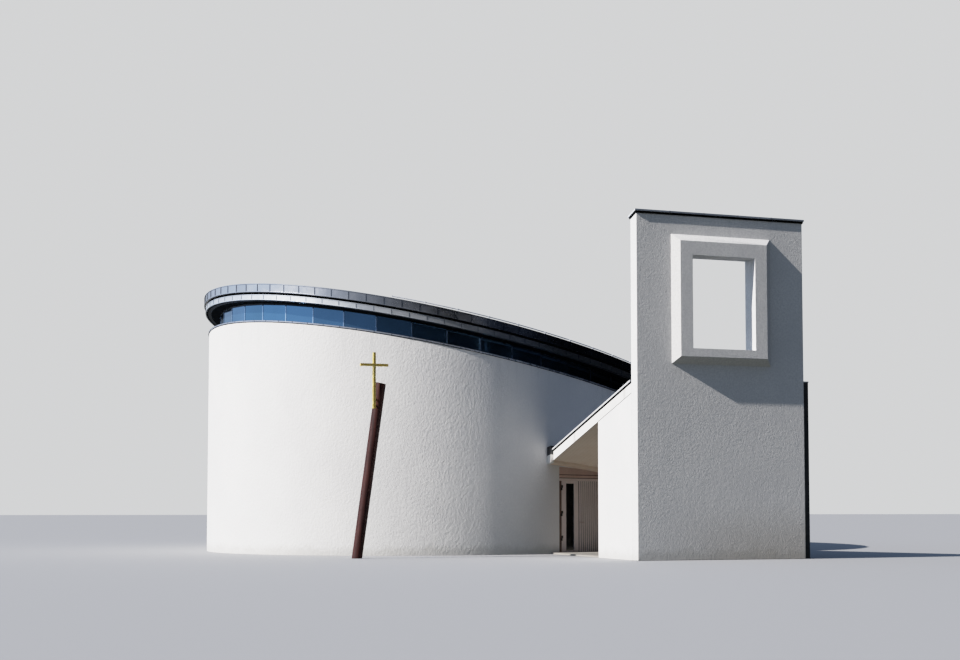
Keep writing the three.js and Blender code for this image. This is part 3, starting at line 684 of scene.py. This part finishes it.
nave_plaster = plaster("nave_plaster", WALL_HEAD, mottle=0.0105, waviness=0.5)
bell_plaster = plaster(
    "bell_wall_plaster", BELL_TOP, relief=2.6, waviness=0.5, trowel=(11.0, 0.9, 0.0055), speckle=0.9, damp=0.4
)
porch_plaster = plaster("porch_plaster", PORCH_PLANE, relief=0.8, waviness=0.6)
fascia_metal = sheet_metal("fascia_sheet", (208, 210, 216), (182, 185, 192), metallic=0.95, painted_shade=0.94)
bright_metal = sheet_metal("bright_sheet", (246, 249, 253), (226, 231, 238), 0.35, metallic=0.86, painted_shade=0.86)
coping_metal = sheet_metal("coping_sheet", (176, 182, 194), (150, 157, 170), metallic=0.6)
roof_metal = sheet_metal("roof_sheet", (158, 164, 174), (120, 126, 138))
porch_roof_metal = sheet_metal("porch_roof_sheet", (112, 118, 128), (84, 90, 100))
cap_metal = sheet_metal("cap_sheet", (230, 232, 234), (206, 208, 212), 0.42, metallic=0.2)
bell_cap_metal = sheet_metal("bell_cap_sheet", (184, 194, 208), (152, 162, 176), 0.40, metallic=0.6)
bar_metal = sheet_metal(
    "glazing_bar", (160, 190, 226), (132, 162, 200), metallic=0.85, dark_head=EAVES, painted_shade=0.9
)
gutter_coating = dark_coating("gutter_coating", (26, 28, 32), (48, 50, 54))
cladding_coating = dark_coating("cladding_coating", (40, 43, 47), (62, 64, 67))
# Painted shadow: near-black boards for recesses, gaps and the eaves' underside, where shade falls.
shadow_board = dark_coating("shadow_board", (6, 8, 10), (13, 15, 17), roughness=0.85, shine=0.05)
hinge_steel = dark_coating("hinge_steel", (14, 14, 15), (34, 34, 35), roughness=0.35)
window_glass = tinted_glass("window_glass", (86, 124, 156), (102, 143, 182))
door_glass = dark_coating("door_glass", (13, 10, 11), (24, 20, 20), roughness=0.06, shine=0.6)
header_shadow = dark_coating("header_shadow", (84, 64, 58), (98, 78, 70), roughness=0.7)
handle_bronze = dark_coating("handle_bronze", (150, 130, 122), (176, 156, 148), roughness=0.4)
leaf_wood = wood("leaf_wood", (236, 224, 222), (202, 188, 186), grain_axis=2)
ribbed_wood = wood("ribbed_wood", (252, 242, 240), (222, 208, 206), grain_axis=2, grooves=(0.078, 0.086))
frame_wood = wood("frame_wood", (100, 76, 68), (74, 54, 48), grain_axis=2, pale_head=2.447)
header_wood = wood("header_wood", (224, 198, 188), (186, 158, 148), grain_axis=0)
verge_paint = painted_boards("verge_paint", (240, 239, 236), (228, 226, 222), 4.0, 1)
soffit_paint = painted_boards("soffit_paint", (255, 240, 224), (248, 230, 212), 0.14, 0)
boxing_paint = painted_boards(
    "boxing_paint", (240, 222, 204), (228, 208, 190), 3.0, 0, white_end=(BOXING_ALONG, BOXING_END)
)
floor_finish = screed("floor_screed")
column_rust = rust("column_rust")
gold = gilding("gilding")


# Nave wall


def door_distance(x, y):
    """Distance from the door's left side, along the straight line between its sides."""
    return (x - DOOR_CORNER.x) * math.cos(DOOR_TURN) + (y - DOOR_CORNER.y) * math.sin(DOOR_TURN)


def door_head(x, y):
    """Height of the doorway's sloping head."""
    return DOOR_HEAD - DOOR_HEAD_FALL * door_distance(x, y)


def nave_wall():
    """The rendered wall: the ring up to both sides of the doorway, and the part over it."""
    shape = Shape()
    margin = 0.2

    def wall_sections(outer_range, inner_range, bottom, steps):
        sections = []
        for i in range(steps + 1):
            share = i / steps
            outer = nave_point(0.0, outer_range[0] + (outer_range[1] - outer_range[0]) * share)
            inner = nave_point(-WALL_THICKNESS, inner_range[0] + (inner_range[1] - inner_range[0]) * share)
            section = [(*outer, bottom(*outer)), (*outer, WALL_HEAD.at(*outer))]
            section += [(*inner, WALL_HEAD.at(*inner)), (*inner, bottom(*inner))]
            sections.append(section)
        return sections

    def doorway_side(distance):
        """The facing at which one side of the doorway meets the wall's inner face."""

        def passed(x, y):
            return door_distance(x, y) > distance

        return facing_where(-WALL_THICKNESS, DOOR_START - margin, DOOR_END + margin, passed)

    inner_start = doorway_side(0.0)
    inner_end = doorway_side(DOOR_WIDTH)
    outer_range = (DOOR_END, DOOR_START + FULL_TURN)
    inner_range = (inner_end, inner_start + FULL_TURN)
    shape.sweep(wall_sections(outer_range, inner_range, level(0.0), steps=348))
    shape.sweep(wall_sections((DOOR_START, DOOR_END), (inner_start, inner_end), door_head, steps=14))
    nodes = [f"nave_wall_{i:02d}" for i in range(1, 11)]
    make_piece("nave_wall_render", shape, nave_plaster, replaces=(*nodes, "nave_wall_over_door"))


def nave_wall_coping():
    """Folded cover sheets on the wall head, over a black band of painted shadow in the recess below them."""
    sheets = Shape()
    inner = GLAZING_LINE + 0.012
    edge = COPING_EDGE
    rib_inner = GLAZING_LINE + 0.030
    rib_outer = edge + 0.004
    points = [(inner, 0.026), (edge, 0.022), (edge, 0.060), (edge - 0.012, 0.067), (inner, 0.068)]
    profile = profile_on(WALL_HEAD, points)
    points = [(rib_inner, 0.064), (rib_outer, 0.022), (rib_outer, 0.074), (rib_inner, 0.082)]
    rib = profile_on(WALL_HEAD, points)
    sheet_ring(sheets, profile, rib, FIRST_LOWER_JOINT, 0.016)
    make_piece("wall_coping_sheets", sheets, coping_metal, replaces=("wall_coping",))
    # Painted shadow: a black band in the recess under the sheets.
    shadow_band = Shape()
    full_ring(shadow_band, flat_bar(WALL_HEAD, inner, 0.004, 0.001, 0.021), steps=360)
    make_piece("wall_coping_shadow_band", shadow_band, shadow_board)


# Window band


def panel_facings():
    """Facings of the bars between the panels: the wide panels first, then the narrow ones."""
    wide_length = WIDE_PANELS * WIDE_PANEL_LENGTH
    narrow_length = (length_round(GLAZING_LINE) - wide_length) / NARROW_PANELS
    facings = [FIRST_PANEL]
    while len(facings) < WIDE_PANELS + NARROW_PANELS:
        panel = WIDE_PANEL_LENGTH if len(facings) <= WIDE_PANELS else narrow_length
        facings.append(facing_after(GLAZING_LINE, facings[-1], panel))
    return facings + [FIRST_PANEL + FULL_TURN]


def window_panes():
    """One pane in each opening of the glazing bars, almost flush with them."""
    shape = Shape()
    facings = panel_facings()
    setback = 0.010
    thickness = 0.024
    play = 0.001
    bottom = WALL_HEAD.raised(SILL_RAIL + play)
    top = EAVES.raised(-HEAD_RAIL - play)
    for start_facing, end_facing in zip(facings, facings[1:]):
        start = Vector(nave_point(GLAZING_LINE, start_facing))
        end = Vector(nave_point(GLAZING_LINE, end_facing))
        along = (end - start).normalized()
        inward = Vector((-along.y, along.x))
        near = start + along * (MULLION / 2 + play)
        far = end - along * (MULLION / 2 + play)
        outline = [
            near + inward * setback,
            far + inward * setback,
            far + inward * (setback + thickness),
            near + inward * (setback + thickness),
        ]
        shape.prism(outline, bottom, top, chance.random())
    make_piece("window_panes", shape, window_glass, replaces=("clerestory_glass",), sharp=10)


# Nave roof


def lower_fascia():
    """The bright sheets of the lower fascia, with a fold along both edges."""
    lower = Shape()
    core = RIM_CORE + 0.001
    edge = LOWER_FASCIA_EDGE
    face = edge - 0.010
    top = LOWER_FASCIA_HEIGHT
    points = [(core, 0.0), (edge, 0.0), (edge, 0.018), (face, 0.022)]
    points += [(face, top - 0.022), (edge, top - 0.018), (edge, top), (core, top)]
    rib = flat_bar(EAVES, RIM_CORE + 0.002, edge - 0.001, 0.003, top - 0.003)
    sheet_ring(lower, profile_on(EAVES, points), rib, FIRST_LOWER_JOINT, 0.014)
    make_piece("lower_fascia_sheets", lower, bright_metal, replaces=("lower_fascia",))


def upper_fascia():
    """The grey sheets of the upper fascia, from a shadow gap up to the roof."""
    upper = Shape()
    core = RIM_CORE + 0.001
    edge = UPPER_FASCIA_EDGE
    face = edge - 0.014
    start = UPPER_FASCIA_START
    foot = profile_on(EAVES, [(core, start), (edge, start), (edge, start + 0.022), (face, start + 0.028)])
    head_points = [(face, -0.032), (edge, -0.026), (edge, -0.004), (edge - 0.006, 0.0), (core, 0.0)]
    rib_inner = RIM_CORE + 0.002
    rib_outer = edge - 0.001
    rib_foot = profile_on(EAVES, [(rib_inner, start + 0.003), (rib_outer, start + 0.003)])
    rib = rib_foot + profile_on(ROOF_TOP, [(rib_outer, -0.003), (rib_inner, -0.003)])
    sheet_ring(upper, foot + profile_on(ROOF_TOP, head_points), rib, FIRST_UPPER_JOINT, 0.018)
    make_piece("upper_fascia_sheets", upper, fascia_metal, replaces=("upper_fascia",))


def soffit_vent():
    """The strip at the outer edge of the soffit."""
    strip = Shape()
    full_ring(strip, flat_bar(EAVES, -0.065, 0.045, 0.004, 0.011), steps=240)
    make_piece("soffit_vent_strip", strip, cladding_coating)


def roof_bays():
    """Roof sheets laid down the slope, with standing seams between them."""
    sheets = Shape()
    bays = 33
    margin = 0.002
    front = nave_point(RIM_CORE, -math.pi / 2)[1]
    back = nave_point(RIM_CORE, math.pi / 2)[1]
    bay = (back - front) / bays
    sheet_bottom = EAVES.raised(0.401)
    sheet_top = ROOF_TOP.raised(-0.012)
    steps = 8
    for i in range(bays):
        lines = [front + bay * (i + j / steps) for j in range(steps + 1)]
        lines = [min(max(y, front + margin), back - margin) for y in lines]
        right = [(nave_side_x(y, RIM_CORE, 1), y) for y in lines]
        left = [(nave_side_x(y, RIM_CORE, -1), y) for y in reversed(lines)]
        sheets.prism(right + left, sheet_bottom, sheet_top, chance.random())
    make_piece("roof_covering_bays", sheets, roof_metal, replaces=("roof_covering",))
    seams = Shape()
    half_width = 0.008
    end_gap = 0.12
    for i in range(1, bays):
        y = front + bay * i
        left_end = nave_side_x(y, RIM_CORE, -1) + end_gap
        right_end = nave_side_x(y, RIM_CORE, 1) - end_gap
        outline = rectangle(left_end, y - half_width, right_end, y + half_width)
        seams.prism(outline, ROOF_TOP.raised(-0.014), ROOF_TOP.raised(0.016), chance.random())
    make_piece("roof_standing_seams", seams, roof_metal, bevel=0.003)


def snow_guard():
    """Round rail on clamped brackets along the low side of the roof."""
    shape = Shape()
    rail_radius = 0.019
    sides = 10
    rail = [(GUARD_LINE + x, ROOF_TOP, GUARD_LIFT + z) for x, z in circle(rail_radius, sides)]
    posts = [facing_after(GUARD_LINE, GUARD_START, GUARD_POST_HALF)]
    for _ in range(GUARD_POSTS - 1):
        posts.append(facing_after(GUARD_LINE, posts[-1], GUARD_SPACING))
    guard_end = facing_after(GUARD_LINE, posts[-1], GUARD_POST_HALF)
    shape.sweep(ring_sections(rail, GUARD_START, guard_end, 220))
    bracket_top = GUARD_LIFT + 0.030
    bracket_points = [
        (GUARD_LINE - 0.020, -0.010),
        (GUARD_LINE + 0.030, -0.010),
        (GUARD_LINE + 0.024, bracket_top),
        (GUARD_LINE - 0.024, bracket_top),
    ]
    bracket = profile_on(ROOF_TOP, bracket_points)
    foot = flat_bar(ROOF_TOP, GUARD_LINE - 0.090, GUARD_LINE + 0.032, -0.012, -0.002)
    for facing in posts:
        half_turn = GUARD_POST_HALF / curve_radius(GUARD_LINE, facing)
        shape.sweep(ring_sections(bracket, facing - half_turn, facing + half_turn, 1), 0.1)
        shape.sweep(ring_sections(foot, facing - 3 * half_turn, facing + 3 * half_turn, 1), 0.1)
    make_piece("snow_guard_rail", shape, cap_metal, replaces=("snow_guard",))


# Bell wall


def bell_wall_coping():
    """Folded cap sheets with standing joints over a black band of painted shadow, and a lighter end sheet of
    painted light at the left end.
    """
    overhang = 0.050
    recess = 0.022
    fold = 0.004
    fold_height = 0.050
    foot = 0.048
    edge = 0.096
    crown = 0.101
    slant = 0.008
    half_joint = 0.012
    joint_lift = 0.007
    left = BELL_LEFT - overhang
    right = BELL_RIGHT + overhang
    front = BELL_FRONT - overhang
    back = BELL_BACK + overhang
    count = 5
    length = (right - left) / count
    shape = Shape()

    def on_top(x, points):
        return [(x, y, BELL_TOP.at(x, y, lift)) for y, lift in points]

    def section(x, lift):
        near = [(front + fold, fold_height), (front, foot), (front, edge), (front + slant, crown + lift)]
        far = [(back - slant, crown + lift), (back, edge), (back, foot), (back - fold, fold_height)]
        return on_top(x, near + far)

    def shadow_band_section(x):
        near = front + recess
        far = back - recess
        return on_top(x, [(near, 0.001), (near, 0.053), (far, 0.053), (far, 0.001)])

    for i in range(count):
        start = left + length * i
        shape.sweep([section(start, 0.0), section(start + length, 0.0)], chance.random())
        if i:
            joint = [section(start - half_joint, joint_lift), section(start + half_joint, joint_lift)]
            shape.sweep(joint, 0.2)
    make_piece("bell_wall_cap", shape, bell_cap_metal, replaces=("bell_wall_coping",))
    # Painted light: a lighter, matte copy of the cap sheet at the sunlit left end.
    sunlit_end = Shape()
    sunlit_end.sweep([section(left - 0.006, 0.0), section(left - 0.001, 0.0)])
    make_piece("bell_wall_cap_end", sunlit_end, cap_metal)
    # Painted shadow: a black band in the recess under the cap.
    shadow_band = Shape()
    shadow_band.sweep([shadow_band_section(left + recess), shadow_band_section(right - recess)])
    make_piece("bell_wall_cap_shadow_band", shadow_band, shadow_board)


# Porch roof


def porch_roof():
    """Roof sheets with seams, the trim and a black strip of painted shadow in the gap at the verge, and the
    joint under its board.
    """
    sheets = Shape()
    left = BELL_LEFT - 0.040
    half_seam = 0.008
    bays = 9
    bay = (PORCH_RIGHT - left) / bays
    steps = 4
    for i in range(bays):
        start = left + bay * i
        outline = [(start, PORCH_FRONT), (start + bay, PORCH_FRONT)]
        for j in range(steps + 1):
            x = start + bay - bay * j / steps
            outline.append((x, nave_side_y(x, PORCH_EDGE)))
        sheets.prism(outline, PORCH_PLANE.raised(0.035), PORCH_PLANE.raised(0.064), chance.random())
        if i:
            end = nave_side_y(start, PORCH_EDGE) - 0.06
            seam = rectangle(start - half_seam, PORCH_FRONT, start + half_seam, end)
            sheets.prism(seam, PORCH_PLANE.raised(0.060), PORCH_PLANE.raised(0.088), chance.random())
    make_piece("porch_roof_bays", sheets, porch_roof_metal, replaces=("porch_roof_sheet",))

    edge_end = nave_side_y(BELL_LEFT, PORCH_EDGE)

    def strip(shape, near, far, bottom, top, end=edge_end):
        outline = rectangle(near, PORCH_FRONT, far, end)
        shape.prism(outline, PORCH_PLANE.raised(bottom), PORCH_PLANE.raised(top), 0.0)

    trim = Shape()
    strip(trim, BELL_LEFT - 0.048, BELL_LEFT - 0.036, 0.026, 0.074)
    make_piece("porch_verge_trim", trim, cap_metal)

    # Painted shadow: a black strip in the gap under the verge trim.
    gap = Shape()
    strip(gap, BELL_LEFT + 0.004, BELL_LEFT + 0.029, -0.021, 0.034)
    make_piece("porch_verge_shadow_strip", gap, shadow_board)

    joint = Shape()
    side_wall_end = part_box("porch_side_wall")[1].y
    strip(joint, BELL_LEFT - 0.001, BELL_LEFT + 0.002, -0.322, -0.300, end=side_wall_end)
    make_piece("porch_side_wall_joint", joint, cladding_coating)


def porch_cladding():
    """Upright dark boards with narrow gaps on the closed side of the porch, under a cap sheet."""
    low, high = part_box("porch_dark_wall")
    shape = Shape()
    board = 0.20
    gap = 0.006
    inset = 0.012
    clearance = 0.004
    left = low.x
    right = high.x
    y = low.y
    top = 0.088

    def up_to_nave(near, far, front, play):
        """Plan outline from a front line back to the nave wall."""
        back = [(x, nave_side_y(x, 0.0) - play) for x in (far, near)]
        return [(near, front), (far, front), *back]

    end = nave_side_y(right, 0.0) - clearance
    count = round((end - y) / board)
    width = (end - y) / count
    for i in range(count):
        start = y + width * i
        outline = rectangle(left, start + gap / 2, right, start + width - gap / 2)
        shape.prism(outline, level(0.0), PORCH_PLANE.raised(top), chance.random())
    core = up_to_nave(left + inset, right - inset, y + inset, clearance)
    shape.prism(core, level(0.0), PORCH_PLANE.raised(top - 0.004), 0.9)
    replaced = ("porch_dark_wall",)
    make_piece("porch_side_cladding", shape, cladding_coating, replaces=replaced, bevel=0.004)
    cap = Shape()
    outline = up_to_nave(left - 0.010, right + 0.012, y - 0.012, 0.006)
    cap.prism(outline, PORCH_PLANE.raised(top + 0.001), PORCH_PLANE.raised(top + 0.030), 0.4)
    make_piece("porch_side_cap", cap, cap_metal, bevel=0.004)


# Entrance

door_place = Matrix.Translation(DOOR_CORNER) @ Matrix.Rotation(DOOR_TURN, 4, "Z")


def header_boards():
    """Boards over the door, with a shadow joint between them."""
    shape = Shape(door_place)
    front = JAMB_SETBACK + 0.015
    back = JAMB_SETBACK + 0.130
    left = 0.002
    right = DOOR_WIDTH - 0.002
    frame_top = 2.5303
    board = (2.556, 2.638)
    panel_bottom = 2.664

    def panel_top(x, y):
        return DOOR_HEAD - DOOR_HEAD_FALL * x - 0.002

    shape.box((left, front, board[0]), (right, back, board[1]), 0.4)
    shape.prism(rectangle(left, front, right, back), level(panel_bottom), panel_top, 0.6)
    # Painted shadow: the core behind the joint between the boards is dark.
    core = Shape(door_place)
    core.box((left, front + 0.02, frame_top), (right, back - 0.002, panel_bottom + 0.01), 0.9)
    make_piece("door_header_core", core, header_shadow)
    replaced = ("door_header_panel",)
    make_piece("door_header_boards", shape, header_wood, replaces=replaced, bevel=0.004)


def hinge_sleeves():
    """Dark sleeves and plates over the hinge barrels: the lower halves stay, the upper ones swing."""
    pivots = {
        "glazed_door": (JAMB_WIDTH + LEAF_CLEARANCE / 2, 1),
        "ribbed_door": (DOOR_WIDTH - JAMB_WIDTH - LEAF_CLEARANCE / 2, -1),
    }
    sleeve = 0.0145
    sides = 16
    plate = 0.047
    front = HINGE_SETBACK - 0.002
    fixed = Shape(door_place)
    for body, (pivot, direction) in pivots.items():
        swinging = Shape(door_place)
        outline = [(pivot + x, HINGE_SETBACK + y) for x, y in circle(sleeve, sides)]
        inner = sorted((pivot, pivot - direction * plate))
        outer = sorted((pivot, pivot + direction * plate))
        for height in HINGE_HEIGHTS:
            low = height - HINGE_HALF
            high = height + HINGE_HALF
            fixed.prism(outline, level(low), level(height - 0.001))
            swinging.prism(outline, level(height + 0.001), level(high))
            fixed.box((inner[0], front, low - 0.004), (inner[1], JAMB_SETBACK - 0.001, height - 0.002))
            swinging.box((outer[0], front, height + 0.002), (outer[1], LEAF_SETBACK - 0.001, high + 0.004))
        make_piece(f"{body}_hinge_sleeves", swinging, hinge_steel, body=body)
    make_piece("frame_hinge_sleeves", fixed, hinge_steel)


def glazing_beads():
    """Slim beads round the door glass."""
    left, right, bottom, top = DOOR_GLASS
    shape = Shape(door_place)
    bead = 0.018
    lap = 0.004
    front = LEAF_SETBACK - 0.004
    back = LEAF_SETBACK + 0.018
    shape.box((left - bead, front, bottom - bead), (left + lap, back, top + bead), 0.1)
    shape.box((right - lap, front, bottom - bead), (right + bead, back, top + bead), 0.1)
    shape.box((left, front, bottom - bead), (right, back, bottom + lap), 0.1)
    shape.box((left, front, top - lap), (right, back, top + bead), 0.1)
    make_piece("door_glazing_beads", shape, leaf_wood, body="glazed_door", bevel=0.003)


# Column


def column_tube():
    """The leaning tube, open at its slanting top, with its rim rounded."""
    shape = Shape(Matrix.Translation(COLUMN_FOOT) @ Matrix.Rotation(COLUMN_TURN, 4, "Z"))
    sides = 64
    wall = 0.012
    inner = COLUMN_RADIUS - wall
    rounding = 0.004
    inside_depth = 0.5

    def ring(radius, height_at):
        points = []
        for x, y in circle(radius, sides):
            height = height_at(x, y)
            points.append((x + COLUMN_LEAN * height, y, height))
        return points

    def below_top(drop):
        return lambda x, y: COLUMN_HEIGHT - COLUMN_TOP_FALL * x - drop

    sections = [
        ring(COLUMN_RADIUS, level(0.0)),
        ring(COLUMN_RADIUS, below_top(rounding)),
        ring(COLUMN_RADIUS - rounding, below_top(0.0)),
        ring(inner, below_top(0.0)),
        ring(inner - 0.002, below_top(inside_depth)),
    ]
    shape.sweep(sections)
    make_piece("cross_column_tube", shape, column_rust, replaces=("cross_column",))


# Studio


def studio():
    """A pale floor, the sky's light and the sun."""
    floor_mesh = bpy.data.meshes.new("studio_floor")
    reach = 400.0
    corners = [(x, y, 0.0) for x, y in rectangle(-reach, -reach, reach, reach)]
    floor_mesh.from_pydata(corners, [], [(0, 1, 2, 3)])
    floor_object = bpy.data.objects.new("studio_floor", floor_mesh)
    floor_object.location.z = -0.002
    scene.collection.objects.link(floor_object)
    pale = Finish("studio_floor", roughness=0.9)
    pale.set("Base Color", colour(150, 151, 153))
    floor_mesh.materials.append(pale.material)
    floor_object.visible_diffuse = False
    floor_object.visible_glossy = False

    studio_sky()

    key = bpy.data.lights.new("key", "SUN")
    key.energy = 7.3
    key.angle = math.radians(0.6)
    key.color = (1.0, 0.955, 0.92)
    key_object = bpy.data.objects.new("key", key)
    key_object.rotation_mode = "QUATERNION"
    key_object.rotation_quaternion = SUN_DIRECTION.to_track_quat("-Z", "Y")
    scene.collection.objects.link(key_object)


def studio_sky():
    """A soft light, brightest on the left and dim in front on the right, before a plain backdrop."""
    world = bpy.data.worlds.new("studio")
    scene.world = world
    world.use_nodes = True
    sky = Nodes(world.node_tree)
    place = sky.node("ShaderNodeTexCoord", {}).outputs["Generated"]

    def spread(direction, low, high):
        """Runs from 0 to 1 as a direction turns towards the given one."""
        inputs = {0: place, 1: Vector(direction).normalized()}
        turned = sky.node("ShaderNodeVectorMath", inputs, operation="DOT_PRODUCT").outputs["Value"]
        limits = {"Value": turned, "From Min": low, "From Max": high}
        return sky.node("ShaderNodeMapRange", limits).outputs[0]

    def light(shade, strength):
        inputs = {"Color": (*shade, 1.0), "Strength": strength}
        return sky.node("ShaderNodeBackground", inputs).outputs[0]

    def blend(factor, first, second):
        return sky.node("ShaderNodeMixShader", {0: factor, 1: first, 2: second}).outputs[0]

    towards_left = sky.math("POWER", spread((-0.906, 0.423, 0.0), -0.66, 1.0), 2.2)
    horizon = light((0.70, 0.86, 1.12), sky.times(towards_left, 0.98))
    horizon = blend(spread((0.3, 0.954, 0.0), 0.87, 0.91), horizon, light((0.76, 0.87, 1.0), 0.10))
    zenith = light((0.42, 0.62, 1.0), 0.48)
    ground = light((0.96, 1.0, 0.90), 0.10)
    dome = blend(spread(UPWARDS, 0.35, 0.95), horizon, zenith)
    dome = blend(spread((0.0, 0.0, -1.0), 0.0, 0.15), dome, ground)
    backdrop = light((0.97, 0.985, 1.0), 0.80)
    seen = sky.node("ShaderNodeLightPath", {}).outputs["Is Camera Ray"]
    sky.node("ShaderNodeOutputWorld", {"Surface": blend(seen, dome, backdrop)})


def tone_curve():
    """True tones up to the middle, then a soft shoulder that keeps the sunlit walls from burning out."""
    brightest = 2.6
    shoulder = ((0.48, 0.48), (0.66, 0.60), (0.85, 0.68), (1.25, 0.80), (1.75, 0.87))
    view = scene.view_settings
    view.view_transform = "Standard"
    view.use_curve_mapping = True
    mapping = view.curve_mapping
    mapping.white_level = (brightest, brightest, brightest)
    curve = mapping.curves[3]
    for light, shown in shoulder:
        curve.points.new(light / brightest, shown)
    curve.points[0].location = (0.0, 0.0)
    curve.points[-1].location = (1.0, 0.93)
    mapping.update()


def camera():
    """The photograph's viewpoint, for a picture of 960 by 660."""
    picture_width = 960
    focal_px = 1500.6
    pitch = math.radians(3.4)
    heading = math.radians(18.364)
    data = bpy.data.cameras.new("camera")
    data.sensor_width = 36.0
    data.lens = focal_px / picture_width * data.sensor_width
    data.shift_x = -7.7 / picture_width
    data.shift_y = 90.7 / picture_width
    data.clip_end = 1000.0
    viewer = bpy.data.objects.new("camera", data)
    viewer.location = (-17.413, -52.849, 1.469)
    viewer.rotation_euler = (math.pi / 2 + pitch, 0.0, -heading)
    scene.collection.objects.link(viewer)
    scene.camera = viewer


nave_wall()
nave_wall_coping()
window_panes()
lower_fascia()
upper_fascia()
soffit_vent()
roof_bays()
snow_guard()
bell_wall_coping()
porch_roof()
porch_cladding()
header_boards()
hinge_sleeves()
glazing_beads()
column_tube()

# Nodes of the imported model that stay, with their finish and the width of their softer edges
kept_nodes = (
    ("bell_wall", bell_plaster, 0.012),
    ("belfry_frame", bell_plaster, 0.008),
    ("porch_side_wall", porch_plaster, 0.008),
    ("nave_floor", floor_finish, 0.0),
    ("porch_floor", floor_finish, 0.0),
    ("door_threshold", floor_finish, 0.0),
    ("clerestory_frame", bar_metal, 0.0),
    ("roof_soffit", shadow_board, 0.0),
    ("roof_deck", shadow_board, 0.0),
    ("porch_soffit", soffit_paint, 0.0),
    ("porch_roof_deck", shadow_board, 0.0),
    ("porch_verge_board", verge_paint, 0.003),
    ("porch_gutter", gutter_coating, 0.0),
    ("gutter_boxing", boxing_paint, 0.003),
    ("door_frame", frame_wood, 0.0),
    ("glazed_leaf", leaf_wood, 0.0),
    ("glazed_leaf_glass", door_glass, 0.0),
    ("ribbed_leaf", ribbed_wood, 0.003),
    ("door_handle", handle_bronze, 0.003),
    ("gold_cross", gold, 0.004),
)
for kept_node in kept_nodes:
    finish_node(*kept_node)

studio()
camera()
tone_curve()
